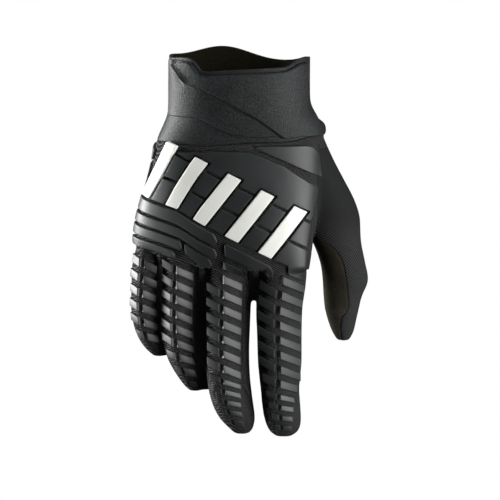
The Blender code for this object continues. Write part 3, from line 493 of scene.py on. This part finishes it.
class Value:
    """A socket that takes part in sums, so that a pattern reads as a formula."""

    def __init__(self, tree, socket):
        self.tree, self.socket = tree, socket

    def node(self, kind, settings=(), inputs=(), output=0):
        made = self.tree.nodes.new(kind)
        for key, value in dict(settings).items():
            setattr(made, key, value)
        for key, value in dict(inputs).items():
            if isinstance(value, Value):
                self.tree.links.new(value.socket, made.inputs[key])
            else:
                made.inputs[key].default_value = value
        return Value(self.tree, made.outputs[output])

    def math(self, operation, first, second=0.0, third=0.0):
        return self.node("ShaderNodeMath", {"operation": operation}, {0: first, 1: second, 2: third})

    def __add__(self, other):
        return self.math("ADD", self, other)

    def __radd__(self, other):
        return self.math("ADD", other, self)

    def __sub__(self, other):
        return self.math("SUBTRACT", self, other)

    def __rsub__(self, other):
        return self.math("SUBTRACT", other, self)

    def __mul__(self, other):
        return self.math("MULTIPLY", self, other)

    def __rmul__(self, other):
        return self.math("MULTIPLY", other, self)

    def __truediv__(self, other):
        return self.math("DIVIDE", self, other)

    def sine(self):
        return self.math("SINE", self)

    def clamped(self, low, high):
        """0 at low and 1 at high, softly."""
        return self.node(
            "ShaderNodeMapRange", {"interpolation_type": "SMOOTHSTEP"},
            {"Value": self, "From Min": low, "From Max": high},
        )

    def blend(self, dark, light):
        """A colour between two, by this value."""
        return self.node(
            "ShaderNodeMix", {"data_type": "RGBA"}, {0: self, 6: (*dark, 1), 7: (*light, 1)}, 2
        )


def new_material(name):
    """The material, its shader and its place in Object coordinates: the point, x, y and z."""
    paint = bpy.data.materials.new(name)
    paint.use_nodes = True
    tree = paint.node_tree
    shader = tree.nodes["Principled BSDF"]
    start = Value(tree, None)
    point = start.node("ShaderNodeTexCoord", output="Object")
    split = point.node("ShaderNodeSeparateXYZ", (), {0: point})
    x = split
    y = Value(tree, split.socket.node.outputs[1])
    z = Value(tree, split.socket.node.outputs[2])
    return paint, shader, point, x, y, z


def into(shader, name, value):
    """Links a value to one of the shader's inputs."""
    value.tree.links.new(value.socket, shader.inputs[name])


def bumped(shader, height, strength, distance):
    into(shader, "Normal", height.node(
        "ShaderNodeBump", (), {"Strength": strength, "Distance": distance, "Height": height}
    ))


def noise(point, scale, detail=3.0, roughness=0.55):
    return point.node(
        "ShaderNodeTexNoise", (),
        {"Vector": point, "Scale": scale, "Detail": detail, "Roughness": roughness},
    )


def sewn(name, paint, nodes, thickness=0.0011, inside=None):
    """Gives a cut piece its cloth and its wall, which lies inside the skin."""
    piece = cloth[name]
    piece.data.materials.append(paint)
    wall = piece.modifiers.new("cloth", "SOLIDIFY")
    wall.thickness = thickness
    wall.offset = -1
    if inside is not None:
        piece.data.materials.append(inside)
        wall.material_offset = 1
    bpy.context.view_layer.objects.active = piece
    bpy.ops.object.select_all(action="DESELECT")
    piece.select_set(True)
    bpy.ops.object.modifier_apply(modifier="cloth")
    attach(piece, "root")
    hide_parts(*nodes)


neoprene, shader, point, x, y, z = new_material("neoprene")
grain = noise(point, 1700, 3.0, 0.6)
cloud = noise(point, 30, 3.0).clamped(0.3, 0.7)
tone = grain * 3.4 - 1.25 + cloud * 0.2
into(shader, "Base Color", tone.blend((0.0010, 0.0011, 0.0012), (0.030, 0.032, 0.033)))
into(shader, "Roughness", cloud * 0.08 + 0.42)
shader.inputs["Specular IOR Level"].default_value = 0.20
bumped(shader, grain, 1.0, 0.00028)

lining, shader, point, x, y, z = new_material("lining")
nap = noise(point, 700, 4.0, 0.65)
into(shader, "Base Color", nap.blend((0.004, 0.0035, 0.002), (0.022, 0.019, 0.011)))
shader.inputs["Roughness"].default_value = 0.9
shader.inputs["Specular IOR Level"].default_value = 0.04
bumped(shader, nap, 0.8, 0.0003)

SLEEVE_WALL = 0.0022
sewn("cuff", neoprene, ["cuff_sleeve"], SLEEVE_WALL, lining)


# Knit of the back and the fingers, and the side panels between the fingers
#
# Stretch knit with rows of small loops, each a faint grey fleck on black. The panels between the fingers
# are the same knit with lighter flecks, painted light for the fill that reaches the shade between the
# fingers. Both are sewn to the palm along the outer sides of the fingers.

KNIT_LOOP = 0.00115
knits = []
# The second, lighter copy of the knit is painted light: it brightens the shaded sides between the fingers.
for name, dark, light in (("knit", 0.0060, 0.120), ("side_knit_painted_light", 0.016, 0.170)):
    paint, shader, point, x, y, z = new_material(name)
    loop = 2 * math.pi / KNIT_LOOP
    side = (x * 0.94 + y * 0.70 + z * 0.30) * loop
    rows = (z - x * 0.42) * (loop * 0.90)
    weave = side.sine() * rows.sine()
    fibre = noise(point, 2600, 2.0)
    fleck = (weave * 0.7 + fibre * 1.2).clamped(0.70, 1.25)
    worn = noise(point, 60, 3.0).clamped(0.35, 0.7)
    into(shader, "Base Color", fleck.blend((dark, dark, dark * 1.05), (light, light, light * 0.97)))
    into(shader, "Roughness", worn * 0.15 + 0.72)
    shader.inputs["Specular IOR Level"].default_value = 0.05
    bumped(shader, weave * 0.5 + fibre * 0.5, 0.8, 0.00020)
    knits.append(paint)
knit, side_knit_painted_light = knits

FINGER_NAMES = ("index", "middle", "ring", "pinky")
sewn("knit", knit, ["knit_back"] + ["knit_" + finger for finger in FINGER_NAMES])
gussets = [f"gusset_{k}_{part}" for k, parts in ((1, "abc"), (2, "abc"), (3, "ab")) for part in parts]
sewn("side_panels", side_knit_painted_light, gussets)


# Knit of the thumb
#
# A fine mottled cloth over the thumb's outer half, which shows as thin slanting cords low on the
# thumb. It is sewn to the knit of the back at the ball of the thumb.

CORD_PITCH = 0.00140
twill, shader, point, x, y, z = new_material("twill")
cord = ((x * 0.72 + y * 0.60 - z * 0.70) * (2 * math.pi / CORD_PITCH)).sine()
dash = noise(point, 1500, 2.0)
lower = (z * -1.0).clamped(0.080, 0.100)
fibre = noise(point, 2400, 2.0)
thread = (cord + dash * 1.1).clamped(0.95, 1.65) * lower
tone = thread * 0.75 + fibre * 0.34
into(shader, "Base Color", tone.blend((0.0070, 0.0073, 0.0076), (0.060, 0.061, 0.060)))
into(shader, "Roughness", fibre * 0.1 + 0.75)
shader.inputs["Specular IOR Level"].default_value = 0.05
bumped(shader, thread * 0.5 + fibre * 0.6, 0.7, 0.00018)

sewn("thumb_knit", twill, ["knit_thumb"])


# Palm and the thumb's inner panel
#
# Microfibre suede with a short nap, brown black. It makes up the palm, the undersides of the fingers
# and the inner half of the thumb, and is sewn to the knit all round.

suede, shader, point, x, y, z = new_material("suede")
nap = noise(point, 900, 4.0, 0.65)
brushed = noise(point, 45, 4.0).clamped(0.35, 0.68)
tone = nap * 0.5 + brushed * 0.5
into(shader, "Base Color", tone.blend((0.0095, 0.0086, 0.0060), (0.040, 0.036, 0.026)))
into(shader, "Roughness", nap * 0.1 + 0.82)
shader.inputs["Specular IOR Level"].default_value = 0.04
bumped(shader, nap, 0.8, 0.0003)

sewn("thumb_panel", suede, ["thumb_leather"])
sewn("palm", suede, ["leather_" + part for part in ("palm", *FINGER_NAMES, "thumb")])


# White bars
#
# Five slanted bars of white rubber across the back of the hand, bonded to the knit. Each pad of
# rubber is an outline on a chart of the skin, raised, rounded along its upper edge, cut into a fine
# grid and laid on the skin.

WRAP_LEFT, WRAP_RADIUS, WRAP_CENTRE, OUTSIDE = -0.022, 0.030, 0.008, 0.2


def seat_from(start, inward, far):
    """The skin from a point inwards, and the way out of it."""
    hit, normal = skin.ray_cast(start, inward)[:2]
    if hit is None:
        hit, normal = skin.find_nearest(start + inward * far)[:2]
    return hit, -inward


def on_hand(u, z):
    """The skin straight behind (u, z), or round the hand's outer side where u is far left."""
    if u >= WRAP_LEFT:
        return seat_from(Vector((u, WRAP_CENTRE - OUTSIDE, z)), Vector((0, 1, 0)), 0.19)
    angle = (WRAP_LEFT - u) / WRAP_RADIUS
    inward = Vector((math.sin(angle), math.cos(angle), 0))
    return seat_from(Vector((WRAP_LEFT, WRAP_CENTRE, z)) - inward * OUTSIDE, inward, 0.19)


def rounded(outline, radius, steps=4):
    """The outline with its corners rounded, by one radius or by one for each corner."""
    count = len(outline)
    radii = radius if isinstance(radius, (list, tuple)) else [radius] * count
    soft = []
    for i, corner in enumerate(outline):
        middle = Vector(corner)
        back = Vector(outline[i - 1]) - middle
        ahead = Vector(outline[(i + 1) % count]) - middle
        if radii[i] == 0 or back.angle(ahead, math.pi) > math.radians(168):
            soft.append(tuple(corner))
            continue
        cut = min(radii[i], back.length * 0.45, ahead.length * 0.45)
        start, end = middle + back.normalized() * cut, middle + ahead.normalized() * cut
        for k in range(steps + 1):
            t = k / steps
            point = start * (1 - t) ** 2 + middle * 2 * t * (1 - t) + end * t * t
            soft.append((point.x, point.y))
    return soft


def moulded(name, outline, chart, height, edge, cell=0.0016, sink=0.0004):
    """A pad on an outline of the chart, its upper edge rounded."""
    bm = bmesh.new()
    base = bm.faces.new([bm.verts.new((u, z, -sink)) for u, z in outline])
    raised = bmesh.ops.extrude_face_region(bm, geom=[base])["geom"]
    top = [item for item in raised if isinstance(item, bmesh.types.BMVert)]
    bmesh.ops.translate(bm, verts=top, vec=(0, 0, height + sink))
    face = [item for item in raised if isinstance(item, bmesh.types.BMFace)][0]
    bmesh.ops.bevel(
        bm, geom=list(face.edges), offset=edge, segments=3, profile=0.5, affect="EDGES", clamp_overlap=True
    )
    for axis in (0, 1):
        values = [point[axis] for point in outline]
        for k in range(math.ceil(min(values) / cell), math.floor(max(values) / cell) + 1):
            spot, normal = Vector((0, 0, 0)), Vector((0, 0, 0))
            spot[axis], normal[axis] = k * cell, 1
            everything = bm.verts[:] + bm.edges[:] + bm.faces[:]
            bmesh.ops.bisect_plane(bm, geom=everything, dist=cell / 30, plane_co=spot, plane_no=normal)
    for vertex in bm.verts:
        spot, outward = chart(vertex.co.x, vertex.co.y)
        vertex.co = spot + outward * vertex.co.z
    bmesh.ops.recalc_face_normals(bm, faces=bm.faces)
    mesh = bpy.data.meshes.new(name)
    bm.to_mesh(mesh)
    bm.free()
    piece = bpy.data.objects.new(name, mesh)
    bpy.context.scene.collection.objects.link(piece)
    return piece


def finished(piece, paint, node):
    """Gives a pad its material and takes the place of a solid."""
    piece.data.materials.append(paint)
    bpy.ops.object.select_all(action="DESELECT")
    piece.select_set(True)
    bpy.context.view_layer.objects.active = piece
    bpy.ops.object.shade_smooth_by_angle(angle=math.radians(40))
    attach(piece, "root")
    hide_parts(node)


# Rows of the back: q is a row line's depth below the rim at u = 0.
ROW_SLOPE, ROW_TOP, ROW_PITCH, GROOVE = 0.50, 0.0655, 0.0157, 0.0018
ROW_2, ROW_3 = ROW_TOP + ROW_PITCH, ROW_TOP + 2 * ROW_PITCH
LUG_COUNT, LUG_FIRST, LUG_PITCH, LUG_WIDTH = 5, -0.0425, 0.0180, 0.0072
LUG_LEAN, LUG_OVER, LUG_MOAT = 0.56, 0.0048, 0.0013
LUG_HEIGHT, LUG_EDGE, LUG_CORNER, ROW_EASING = 0.0021, 0.0004, 0.0005, 0.45


def on_row(u, q):
    eased = u + ROW_EASING * max(0.0, WRAP_LEFT - 0.5 * WRAP_RADIUS - u)
    return (u, -q - ROW_SLOPE * eased)


def along_row(u0, u1, q, steps=8):
    return [on_row(u0 + (u1 - u0) * k / steps, q) for k in range(steps + 1)]


def lug_side(k, q, right):
    return LUG_FIRST + k * LUG_PITCH + (LUG_WIDTH if right else 0) - LUG_LEAN * (q - ROW_TOP + LUG_OVER)



white, shader, point, x, y, z = new_material("white_rubber")
grain = noise(point, 1200, 2.0)
grime = noise(point, 55, 4.0).clamped(0.45, 0.85)
into(shader, "Base Color", grime.blend((0.80, 0.80, 0.76), (0.72, 0.72, 0.67)))
into(shader, "Roughness", grain * 0.1 + 0.5)
bumped(shader, grain, 0.2, 0.00010)

for k in range(LUG_COUNT):
    top, bottom = ROW_TOP - LUG_OVER, ROW_3 - GROOVE / 2
    levels = [top + (bottom - top) * i / 6 for i in range(7)]
    outline = [on_row(lug_side(k, q, False), q) for q in reversed(levels)]
    outline += [on_row(lug_side(k, q, True), q) for q in levels]
    lug = moulded(f"white_bar_{k + 1}", rounded(outline, LUG_CORNER), on_hand, LUG_HEIGHT, LUG_EDGE)
    finished(lug, white, f"lug_{k + 1}")


# Rubber of the back of the hand
#
# Satin black rubber, moulded in flat pads and bonded to the knit: two rows of tiles between the white
# bars, the plate above them and the pad at the cuff's corner. The knit shows in the grooves.

rubber, shader, point, x, y, z = new_material("rubber")
grain = noise(point, 1500, 2.0)
rubbed = noise(point, 38, 4.0).clamped(0.3, 0.72)
into(shader, "Base Color", rubbed.blend((0.013, 0.0145, 0.0150), (0.020, 0.0215, 0.0220)))
into(shader, "Roughness", rubbed * 0.10 + grain * 0.06 + 0.40)
shader.inputs["Specular IOR Level"].default_value = 0.5
bumped(shader, grain, 0.25, 0.00010)

FIELD_RIGHT, FIELD_MARGIN = 0.0430, 0.0032
KNUCKLE_LEFT, KNUCKLE_DROP = 0.0262, 0.0046
PAD_HEIGHT, PAD_EDGE, PAD_CORNER = 0.0016, 0.0006, 0.0008


def field_right(z):
    """The right end of the rubber at a height, a little inside the hand's edge."""
    rows = np.array(palm_table)
    return min(FIELD_RIGHT, float(np.interp(-z, rows[:, 0], rows[:, 2])) - FIELD_MARGIN)


def field_end(q):
    """Where a row line meets the right end."""
    end = FIELD_RIGHT
    for _ in range(6):
        end = field_right(on_row(end, q)[1])
    return end


for row, (upper, lower) in enumerate(((ROW_TOP, ROW_2), (ROW_2, ROW_3))):
    top, bottom = upper + GROOVE / 2, lower - GROOVE / 2
    for k in range(LUG_COUNT):
        left_top = lug_side(k, top, True) + LUG_MOAT
        left_bottom = lug_side(k, bottom, True) + LUG_MOAT
        if k == LUG_COUNT - 1:
            right_top, right_bottom = field_end(top), field_end(bottom)
        else:
            right_top = lug_side(k + 1, top, False) - LUG_MOAT
            right_bottom = lug_side(k + 1, bottom, False) - LUG_MOAT
        outline = along_row(left_top, right_top, top)
        if k == LUG_COUNT - 1 and row == 1:
            # The last tile runs on over the index finger's knuckle.
            low = bottom + KNUCKLE_DROP
            outline += along_row(field_end(low), KNUCKLE_LEFT, low)
            outline += along_row(KNUCKLE_LEFT, left_bottom, bottom)
        else:
            outline += along_row(right_bottom, left_bottom, bottom)
        outline = rounded(outline, PAD_CORNER)
        tile = moulded(f"tile_{row + 1}{k + 1}", outline, on_hand, PAD_HEIGHT, PAD_EDGE)
        finished(tile, rubber, f"tile_{row + 1}_{k + 1}")

lower = ROW_TOP - GROOVE / 2
notch = ROW_TOP - LUG_OVER - LUG_MOAT
brow = CUFF_LENGTH + 2 * GROOVE
outline = [on_row(lug_side(0, lower, True) + LUG_MOAT, lower)]
for k in range(1, LUG_COUNT):
    outline += [
        on_row(lug_side(k, lower, False) - LUG_MOAT, lower),
        on_row(lug_side(k, notch, False) - LUG_MOAT, notch),
        on_row(lug_side(k, notch, True) + LUG_MOAT, notch),
        on_row(lug_side(k, lower, True) + LUG_MOAT, lower),
    ]
outline += [
    on_row(field_end(lower), lower),
    (FIELD_RIGHT, on_row(FIELD_RIGHT, CUFF_LENGTH)[1] - 0.30 * ROW_PITCH),
    (FIELD_RIGHT * 0.55, -brow - 0.62 * ROW_PITCH), (FIELD_RIGHT * 0.14, -brow - GROOVE),
    (-0.5 * FIELD_RIGHT, -brow - 0.7 * GROOVE), (lug_side(1, notch, True), -brow - GROOVE),
]
plate = moulded("back_plate", rounded(outline, PAD_CORNER), on_hand, PAD_HEIGHT, PAD_EDGE)
finished(plate, rubber, "plate_main")

brow = CUFF_LENGTH + 1.2 * GROOVE
outline = [
    (FIELD_RIGHT * 0.14 + 2.6 * GROOVE, -brow), (FIELD_RIGHT, -brow),
    (FIELD_RIGHT + GROOVE, on_row(FIELD_RIGHT, CUFF_LENGTH)[1] + 0.10 * ROW_PITCH),
    (FIELD_RIGHT * 0.55, -brow - 0.62 * ROW_PITCH + GROOVE),
    (FIELD_RIGHT * 0.14 + GROOVE, -brow - 0.5 * GROOVE),
]
plate = moulded("corner_pad", rounded(outline, [0, 0.009, 0.001, 0, 0], 8), on_hand, PAD_HEIGHT, PAD_EDGE)
finished(plate, rubber, "plate_corner")


# Ridges over the knuckles, links over the crotches and pads on the outer edge
#
# Thicker rounded bars of the same rubber run down to the right over the outer knuckles, and thin pads
# wrap the hand's outer edge below the cuff. They are bonded to the knit.

RIB_HEIGHT, RIB_EDGE, RIB_CORNER, RIB_SLANT = 0.0021, 0.0011, 0.0012, 0.3
for name, node, start, end, top, height in (
    # ends as shares of the palm's width, top and height as shares of the rows' pitch
    ("ridge_1", "rib_1", -0.690, -0.125, 0.06, 0.45), ("ridge_2", "rib_2", -0.705, -0.125, 0.62, 0.35),
    ("ridge_3", "rib_3", -0.715, -0.365, 1.08, 0.36), ("ridge_4", "rib_4", -0.725, -0.455, 1.58, 0.30),
    ("link_1", "bridge_1", -0.345, -0.155, 1.07, 0.38), ("link_2", "bridge_2", -0.085, 0.190, 0.22, 0.46),
):
    q0 = ROW_3 + top * ROW_PITCH
    q1 = q0 + height * ROW_PITCH
    left, right = start * PALM_WIDTH, end * PALM_WIDTH
    shoulder = right - RIB_SLANT * (q1 - q0)
    outline = along_row(left, shoulder, q0, 12) + [on_row(right, (q0 + q1) / 2)]
    outline += along_row(shoulder, left, q1, 12)
    rib = moulded(name, rounded(outline, RIB_CORNER), on_hand, RIB_HEIGHT, RIB_EDGE)
    finished(rib, rubber, node)

for name, node, corners in (
    # corners: share of the palm's width, share of the back's length
    ("edge_pad_upper", "side_upper", ((-0.69, -0.030), (-0.56, -0.075), (-0.60, -0.16), (-0.705, -0.12))),
    ("edge_pad_lower", "side_lower", ((-0.70, -0.170), (-0.61, -0.200), (-0.69, -0.42), (-0.730, -0.39))),
):
    outline = [(u * PALM_WIDTH, -CUFF_LENGTH + down * BACK_LENGTH) for u, down in corners]
    pad = moulded(name, rounded(outline, PAD_CORNER), on_hand, PAD_HEIGHT, PAD_EDGE)
    finished(pad, rubber, node)


# Finger bars
#
# Two columns of slanting rubber blocks down each finger, bonded to the knit, which shows between
# them. Each block has a flat face from the finger's ridge to its side.

BAR_TALL, BAR_PITCH, TIP_TALL, TIP_PITCH, LAST_BAR = 0.0045, 0.0083, 0.0030, 0.0060, 0.955
BAR_HEIGHT, BAR_EDGE, MOST_BULGE, RIDGE_GAP = 0.0009, 0.0003, 0.0016, 0.0008
LEFT_LIFT, RIGHT_ROLL, ROLL_RATE, RAY_START = 0.45, 0.0006, 3, 0.03
TAPER_RATE, TAPER_LEAST, SLOPE_RATE, BAR_SINK, LIFT_SINK, BAR_CELL = 1.5, 0.36, 2.2, 0.0006, 0.004, 0.05
bar_layout = {
    # left and right reach (shares of the half width), start (share), bars, tip bars, left ones missing
    "index": (-0.90, 0.86, 0.025, 8, 4, 1),
    "middle": (-0.90, 0.56, -0.062, 8, 6, 2),
    "ring": (-0.94, 0.62, -0.030, 8, 2, 0),
    "pinky": (-0.94, 0.76, -0.090, 6, 0, 0),
}
for finger, (left, right, start, count, tip_count, missing) in bar_layout.items():
    length, top = fingers[finger][1], fingers[finger][3]
    ridge = ridges[finger]

    def skin_at(s, z):
        x, y, half, deep = finger_row(finger, z)
        hit = skin.ray_cast(Vector((x + s, y - RAY_START, z)), Vector((0, 1, 0)))[0]
        return hit if hit is not None else skin.find_nearest(Vector((x + s, y, z)))[0]

    def flat_face(s_in, s_out, slope, lift, roll):
        """The chart of a flat face from the ridge to a bar's outer end, either end raised a little."""
        def chart(s, z):
            run = (s - s_in) / (s_out - s_in)
            inner_end = skin_at(s_in, z + slope * (s - s_in))
            outer_end = skin_at(s_out, z - slope * (s_out - s))
            outer_end.y -= lift * (outer_end.y - inner_end.y)
            inner_end.y -= roll
            chord = outer_end - inner_end
            outward = Vector((chord.y, -chord.x, 0)).normalized() * (1 if s_out > s_in else -1)
            return inner_end.lerp(outer_end, run), outward
        return chart

    pads = []
    z = top - start * length
    for i in range(count + tip_count):
        tall = BAR_TALL if i < count else TIP_TALL
        if z - tall < top - LAST_BAR * length:
            break
        share = 1.0 - (top - z) / length
        taper = min(1.0, TAPER_RATE * share + TAPER_LEAST)
        slope = ROW_SLOPE * max(0.0, min(1.0, SLOPE_RATE * share))
        half = finger_row(finger, z)[2]
        for turn, reach in ((-1, left), (1, right)):
            if turn < 0 and i < missing:
                continue
            s0, s1 = ridge * half + turn * RIDGE_GAP, reach * half * taper
            lean0, lean1 = slope * (s0 - ridge * half), slope * (s1 - ridge * half)
            lift = LEFT_LIFT if turn < 0 and finger in left_flatness else 0.0
            rolled = turn > 0 and finger in left_flatness
            roll = RIGHT_ROLL * min(1.0, ROLL_RATE * share) if rolled else 0.0
            chart = flat_face(s0, s1, slope, lift, roll)
            bulge = 0.0
            for k in (0.25, 0.5, 0.75):
                s = s0 + k * (s1 - s0)
                middle = z - tall / 2 - slope * (s - ridge * half)
                spot, outward = chart(s, middle)
                bulge = max(bulge, (skin_at(s, middle) - spot).dot(outward))
            outline = [(s0, z - lean0), (s1, z - lean1), (s1, z - tall - lean1), (s0, z - tall - lean0)]
            high = min(bulge, MOST_BULGE) + BAR_HEIGHT
            sink = BAR_SINK + LIFT_SINK * lift + roll
            pads.append(moulded("bar", outline, chart, high, BAR_EDGE, BAR_CELL, sink))
        z -= BAR_PITCH if i < count else TIP_PITCH
    bpy.ops.object.select_all(action="DESELECT")
    for pad in pads:
        pad.select_set(True)
    bpy.context.view_layer.objects.active = pads[0]
    bpy.ops.object.join()
    bars = bpy.context.active_object
    bars.name = bars.data.name = finger + "_blocks"
    finished(bars, rubber, finger + "_bars")


# Cuff wrap and band
#
# Two layers of neoprene cross the front of the cuff and are sewn down at its lower seam, the wrap
# over the band. The wrap's left edge folds under, which raises a bead with a channel beside it.

CUFF_FLAT, CUFF_RADIUS = 0.010, 0.031


def on_cuff(u, z):
    """The skin of the cuff at (u, z): straight behind in the middle, round the cuff at its sides."""
    corner = max(-CUFF_FLAT, min(CUFF_FLAT, u))
    angle = (corner - u) / CUFF_RADIUS
    inward = Vector((math.sin(angle), math.cos(angle), 0))
    return seat_from(Vector((corner, 0, z)) - inward * OUTSIDE, inward, 0.18)


wrap = [
    # across, down, corner radius (mm)
    (-44.5, -1.6, 3), (-38.0, -3.0, 0), (-31.5, -3.1, 1), (-28.6, -1.3, 0), (-24.2, 3.6, 0),
    (-20.5, 4.4, 0), (-9.0, 3.7, 0), (4.0, 3.0, 0), (14.0, 2.5, 0), (26.0, 2.0, 0), (31.0, 0.8, 0),
    (37.5, -1.8, 0), (46.0, -2.6, 2), (45.5, 20.0, 0), (50.0, 28.0, 0), (57.0, 32.0, 6),
    (52.0, 38.0, 6), (40.0, 37.6, 0), (27.0, 38.6, 0), (22.0, 35.6, 0), (11.0, 29.0, 0),
    (0.0, 22.9, 0), (-11.0, 16.2, 0), (-22.5, 11.7, 0), (-34.5, 8.6, 2), (-39.3, 2.9, 0),
]
fold_edge = [wrap[0], wrap[-1], wrap[-2], wrap[-3]]
BEAD, BEAD_PLACE, BEAD_WIDTH = 0.0014, 1.2, 1.4
CHANNEL, CHANNEL_PLACE, CHANNEL_WIDTH = 0.0009, -2.4, 1.8
FOLD_END, FOLD_FADE = 0.0104, 0.0045


def on_fold(u, z):
    """The cuff's skin, with a bead and a channel along the fold that ends the wrap on the left."""
    spot, outward = on_cuff(u, z)
    off = 1000 * u - np.interp(-1000 * z, [row[1] for row in fold_edge], [row[0] for row in fold_edge])
    bead = BEAD * math.exp(-(((off - BEAD_PLACE) / BEAD_WIDTH) ** 2))
    channel = CHANNEL * math.exp(-(((off - CHANNEL_PLACE) / CHANNEL_WIDTH) ** 2))
    shallow = max(0.0, min(1.0, (FOLD_END + z) / FOLD_FADE))
    return spot + outward * (bead - channel) * shallow, outward


band = [
    # across, down, corner radius (mm)
    (-44.0, -4.0, 2), (-36.0, -3.6, 0), (-31.0, -2.6, 0), (-27.0, 0.5, 0), (-22.0, 6.0, 0),
    (-9.0, 12.0, 0), (2.0, 19.0, 0), (13.0, 26.0, 0), (24.0, 34.0, 0), (26.0, 37.0, 0),
    (10.0, 38.0, 0), (-4.0, 36.6, 0), (-15.0, 32.0, 0), (-26.0, 27.5, 0), (-34.0, 27.0, 0),
    (-52.0, 26.8, 5), (-52.0, -4.0, 2),
]
CUFF_CELL = 0.0014
for name, rows, height, edge in (("wrap", wrap, 0.0024, 0.0010), ("band", band, 0.0010, 0.0006)):
    outline = [(across * 0.001, -down * 0.001) for across, down, radius in rows]
    outline = rounded(outline, [radius * 0.001 for across, down, radius in rows])
    panel = moulded(name, outline, on_fold, height, edge, CUFF_CELL)
    finished(panel, neoprene, "cuff_" + name)


# Stage, light and camera
#
# White paper all round, which lights nothing, a strip of light from behind on the left, a large soft
# light on the right and a weak one above. The camera looks down a little on the middle of the glove.

FLOOR_Z, FLOOR_SIZE, BACKDROP_RADIUS = -0.35, 12, 9
AIM = Vector((0.0055, 0, -0.1018))
CAMERA_AWAY, CAMERA_TILT = 2.0, math.radians(7)

bpy.ops.mesh.primitive_plane_add(size=FLOOR_SIZE, location=(0, 0, FLOOR_Z))
floor = bpy.context.active_object
floor.name = "floor"
bpy.ops.mesh.primitive_uv_sphere_add(segments=48, ring_count=24, radius=BACKDROP_RADIUS)
backdrop = bpy.context.active_object
backdrop.name = "backdrop"
paper = bpy.data.materials.new("paper")
paper.use_nodes = True
shader = paper.node_tree.nodes["Principled BSDF"]
shader.inputs["Base Color"].default_value = (0.0, 0.0, 0.0, 1)
shader.inputs["Specular IOR Level"].default_value = 0.0
shader.inputs["Emission Color"].default_value = (1, 1, 1, 1)
shader.inputs["Emission Strength"].default_value = 1.0
for sheet in (floor, backdrop):
    sheet.data.materials.append(paper)
    sheet.visible_diffuse = False
    sheet.visible_glossy = False
    sheet.visible_shadow = False
    sheet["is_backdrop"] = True

world = bpy.data.worlds.new("studio")
bpy.context.scene.world = world
world.use_nodes = True
world.node_tree.nodes["Background"].inputs["Color"].default_value = (0.9, 0.95, 1.0, 1)
world.node_tree.nodes["Background"].inputs["Strength"].default_value = 0.06

for name, place, width, height, power in (
    ("strip_left", (-0.86, 0.20, 0.02), 0.30, 1.0, 34.0),
    ("soft_right", (0.84, -0.60, -0.18), 0.6, 1.3, 20.0),
    ("soft_top", (0.10, -0.45, 0.80), 0.7, 0.4, 2.6),
):
    lamp = bpy.data.lights.new(name, "AREA")
    lamp.shape = "RECTANGLE"
    lamp.size, lamp.size_y = width, height
    lamp.energy = power
    holder = bpy.data.objects.new(name, lamp)
    bpy.context.scene.collection.objects.link(holder)
    holder.location = place
    holder.rotation_euler = (Vector((0, 0, -0.10)) - Vector(place)).to_track_quat("-Z", "Y").to_euler()

camera = bpy.data.cameras.new("camera")
camera.sensor_width = 36
camera.lens = 262
view = bpy.data.objects.new("camera", camera)
bpy.context.scene.collection.objects.link(view)
view.location = AIM + CAMERA_AWAY * Vector((0, -math.cos(CAMERA_TILT), math.sin(CAMERA_TILT)))
view.rotation_euler = (math.radians(90) - CAMERA_TILT, 0, 0)
bpy.context.scene.camera = view
bpy.context.scene.view_settings.view_transform = "Standard"

low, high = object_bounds()
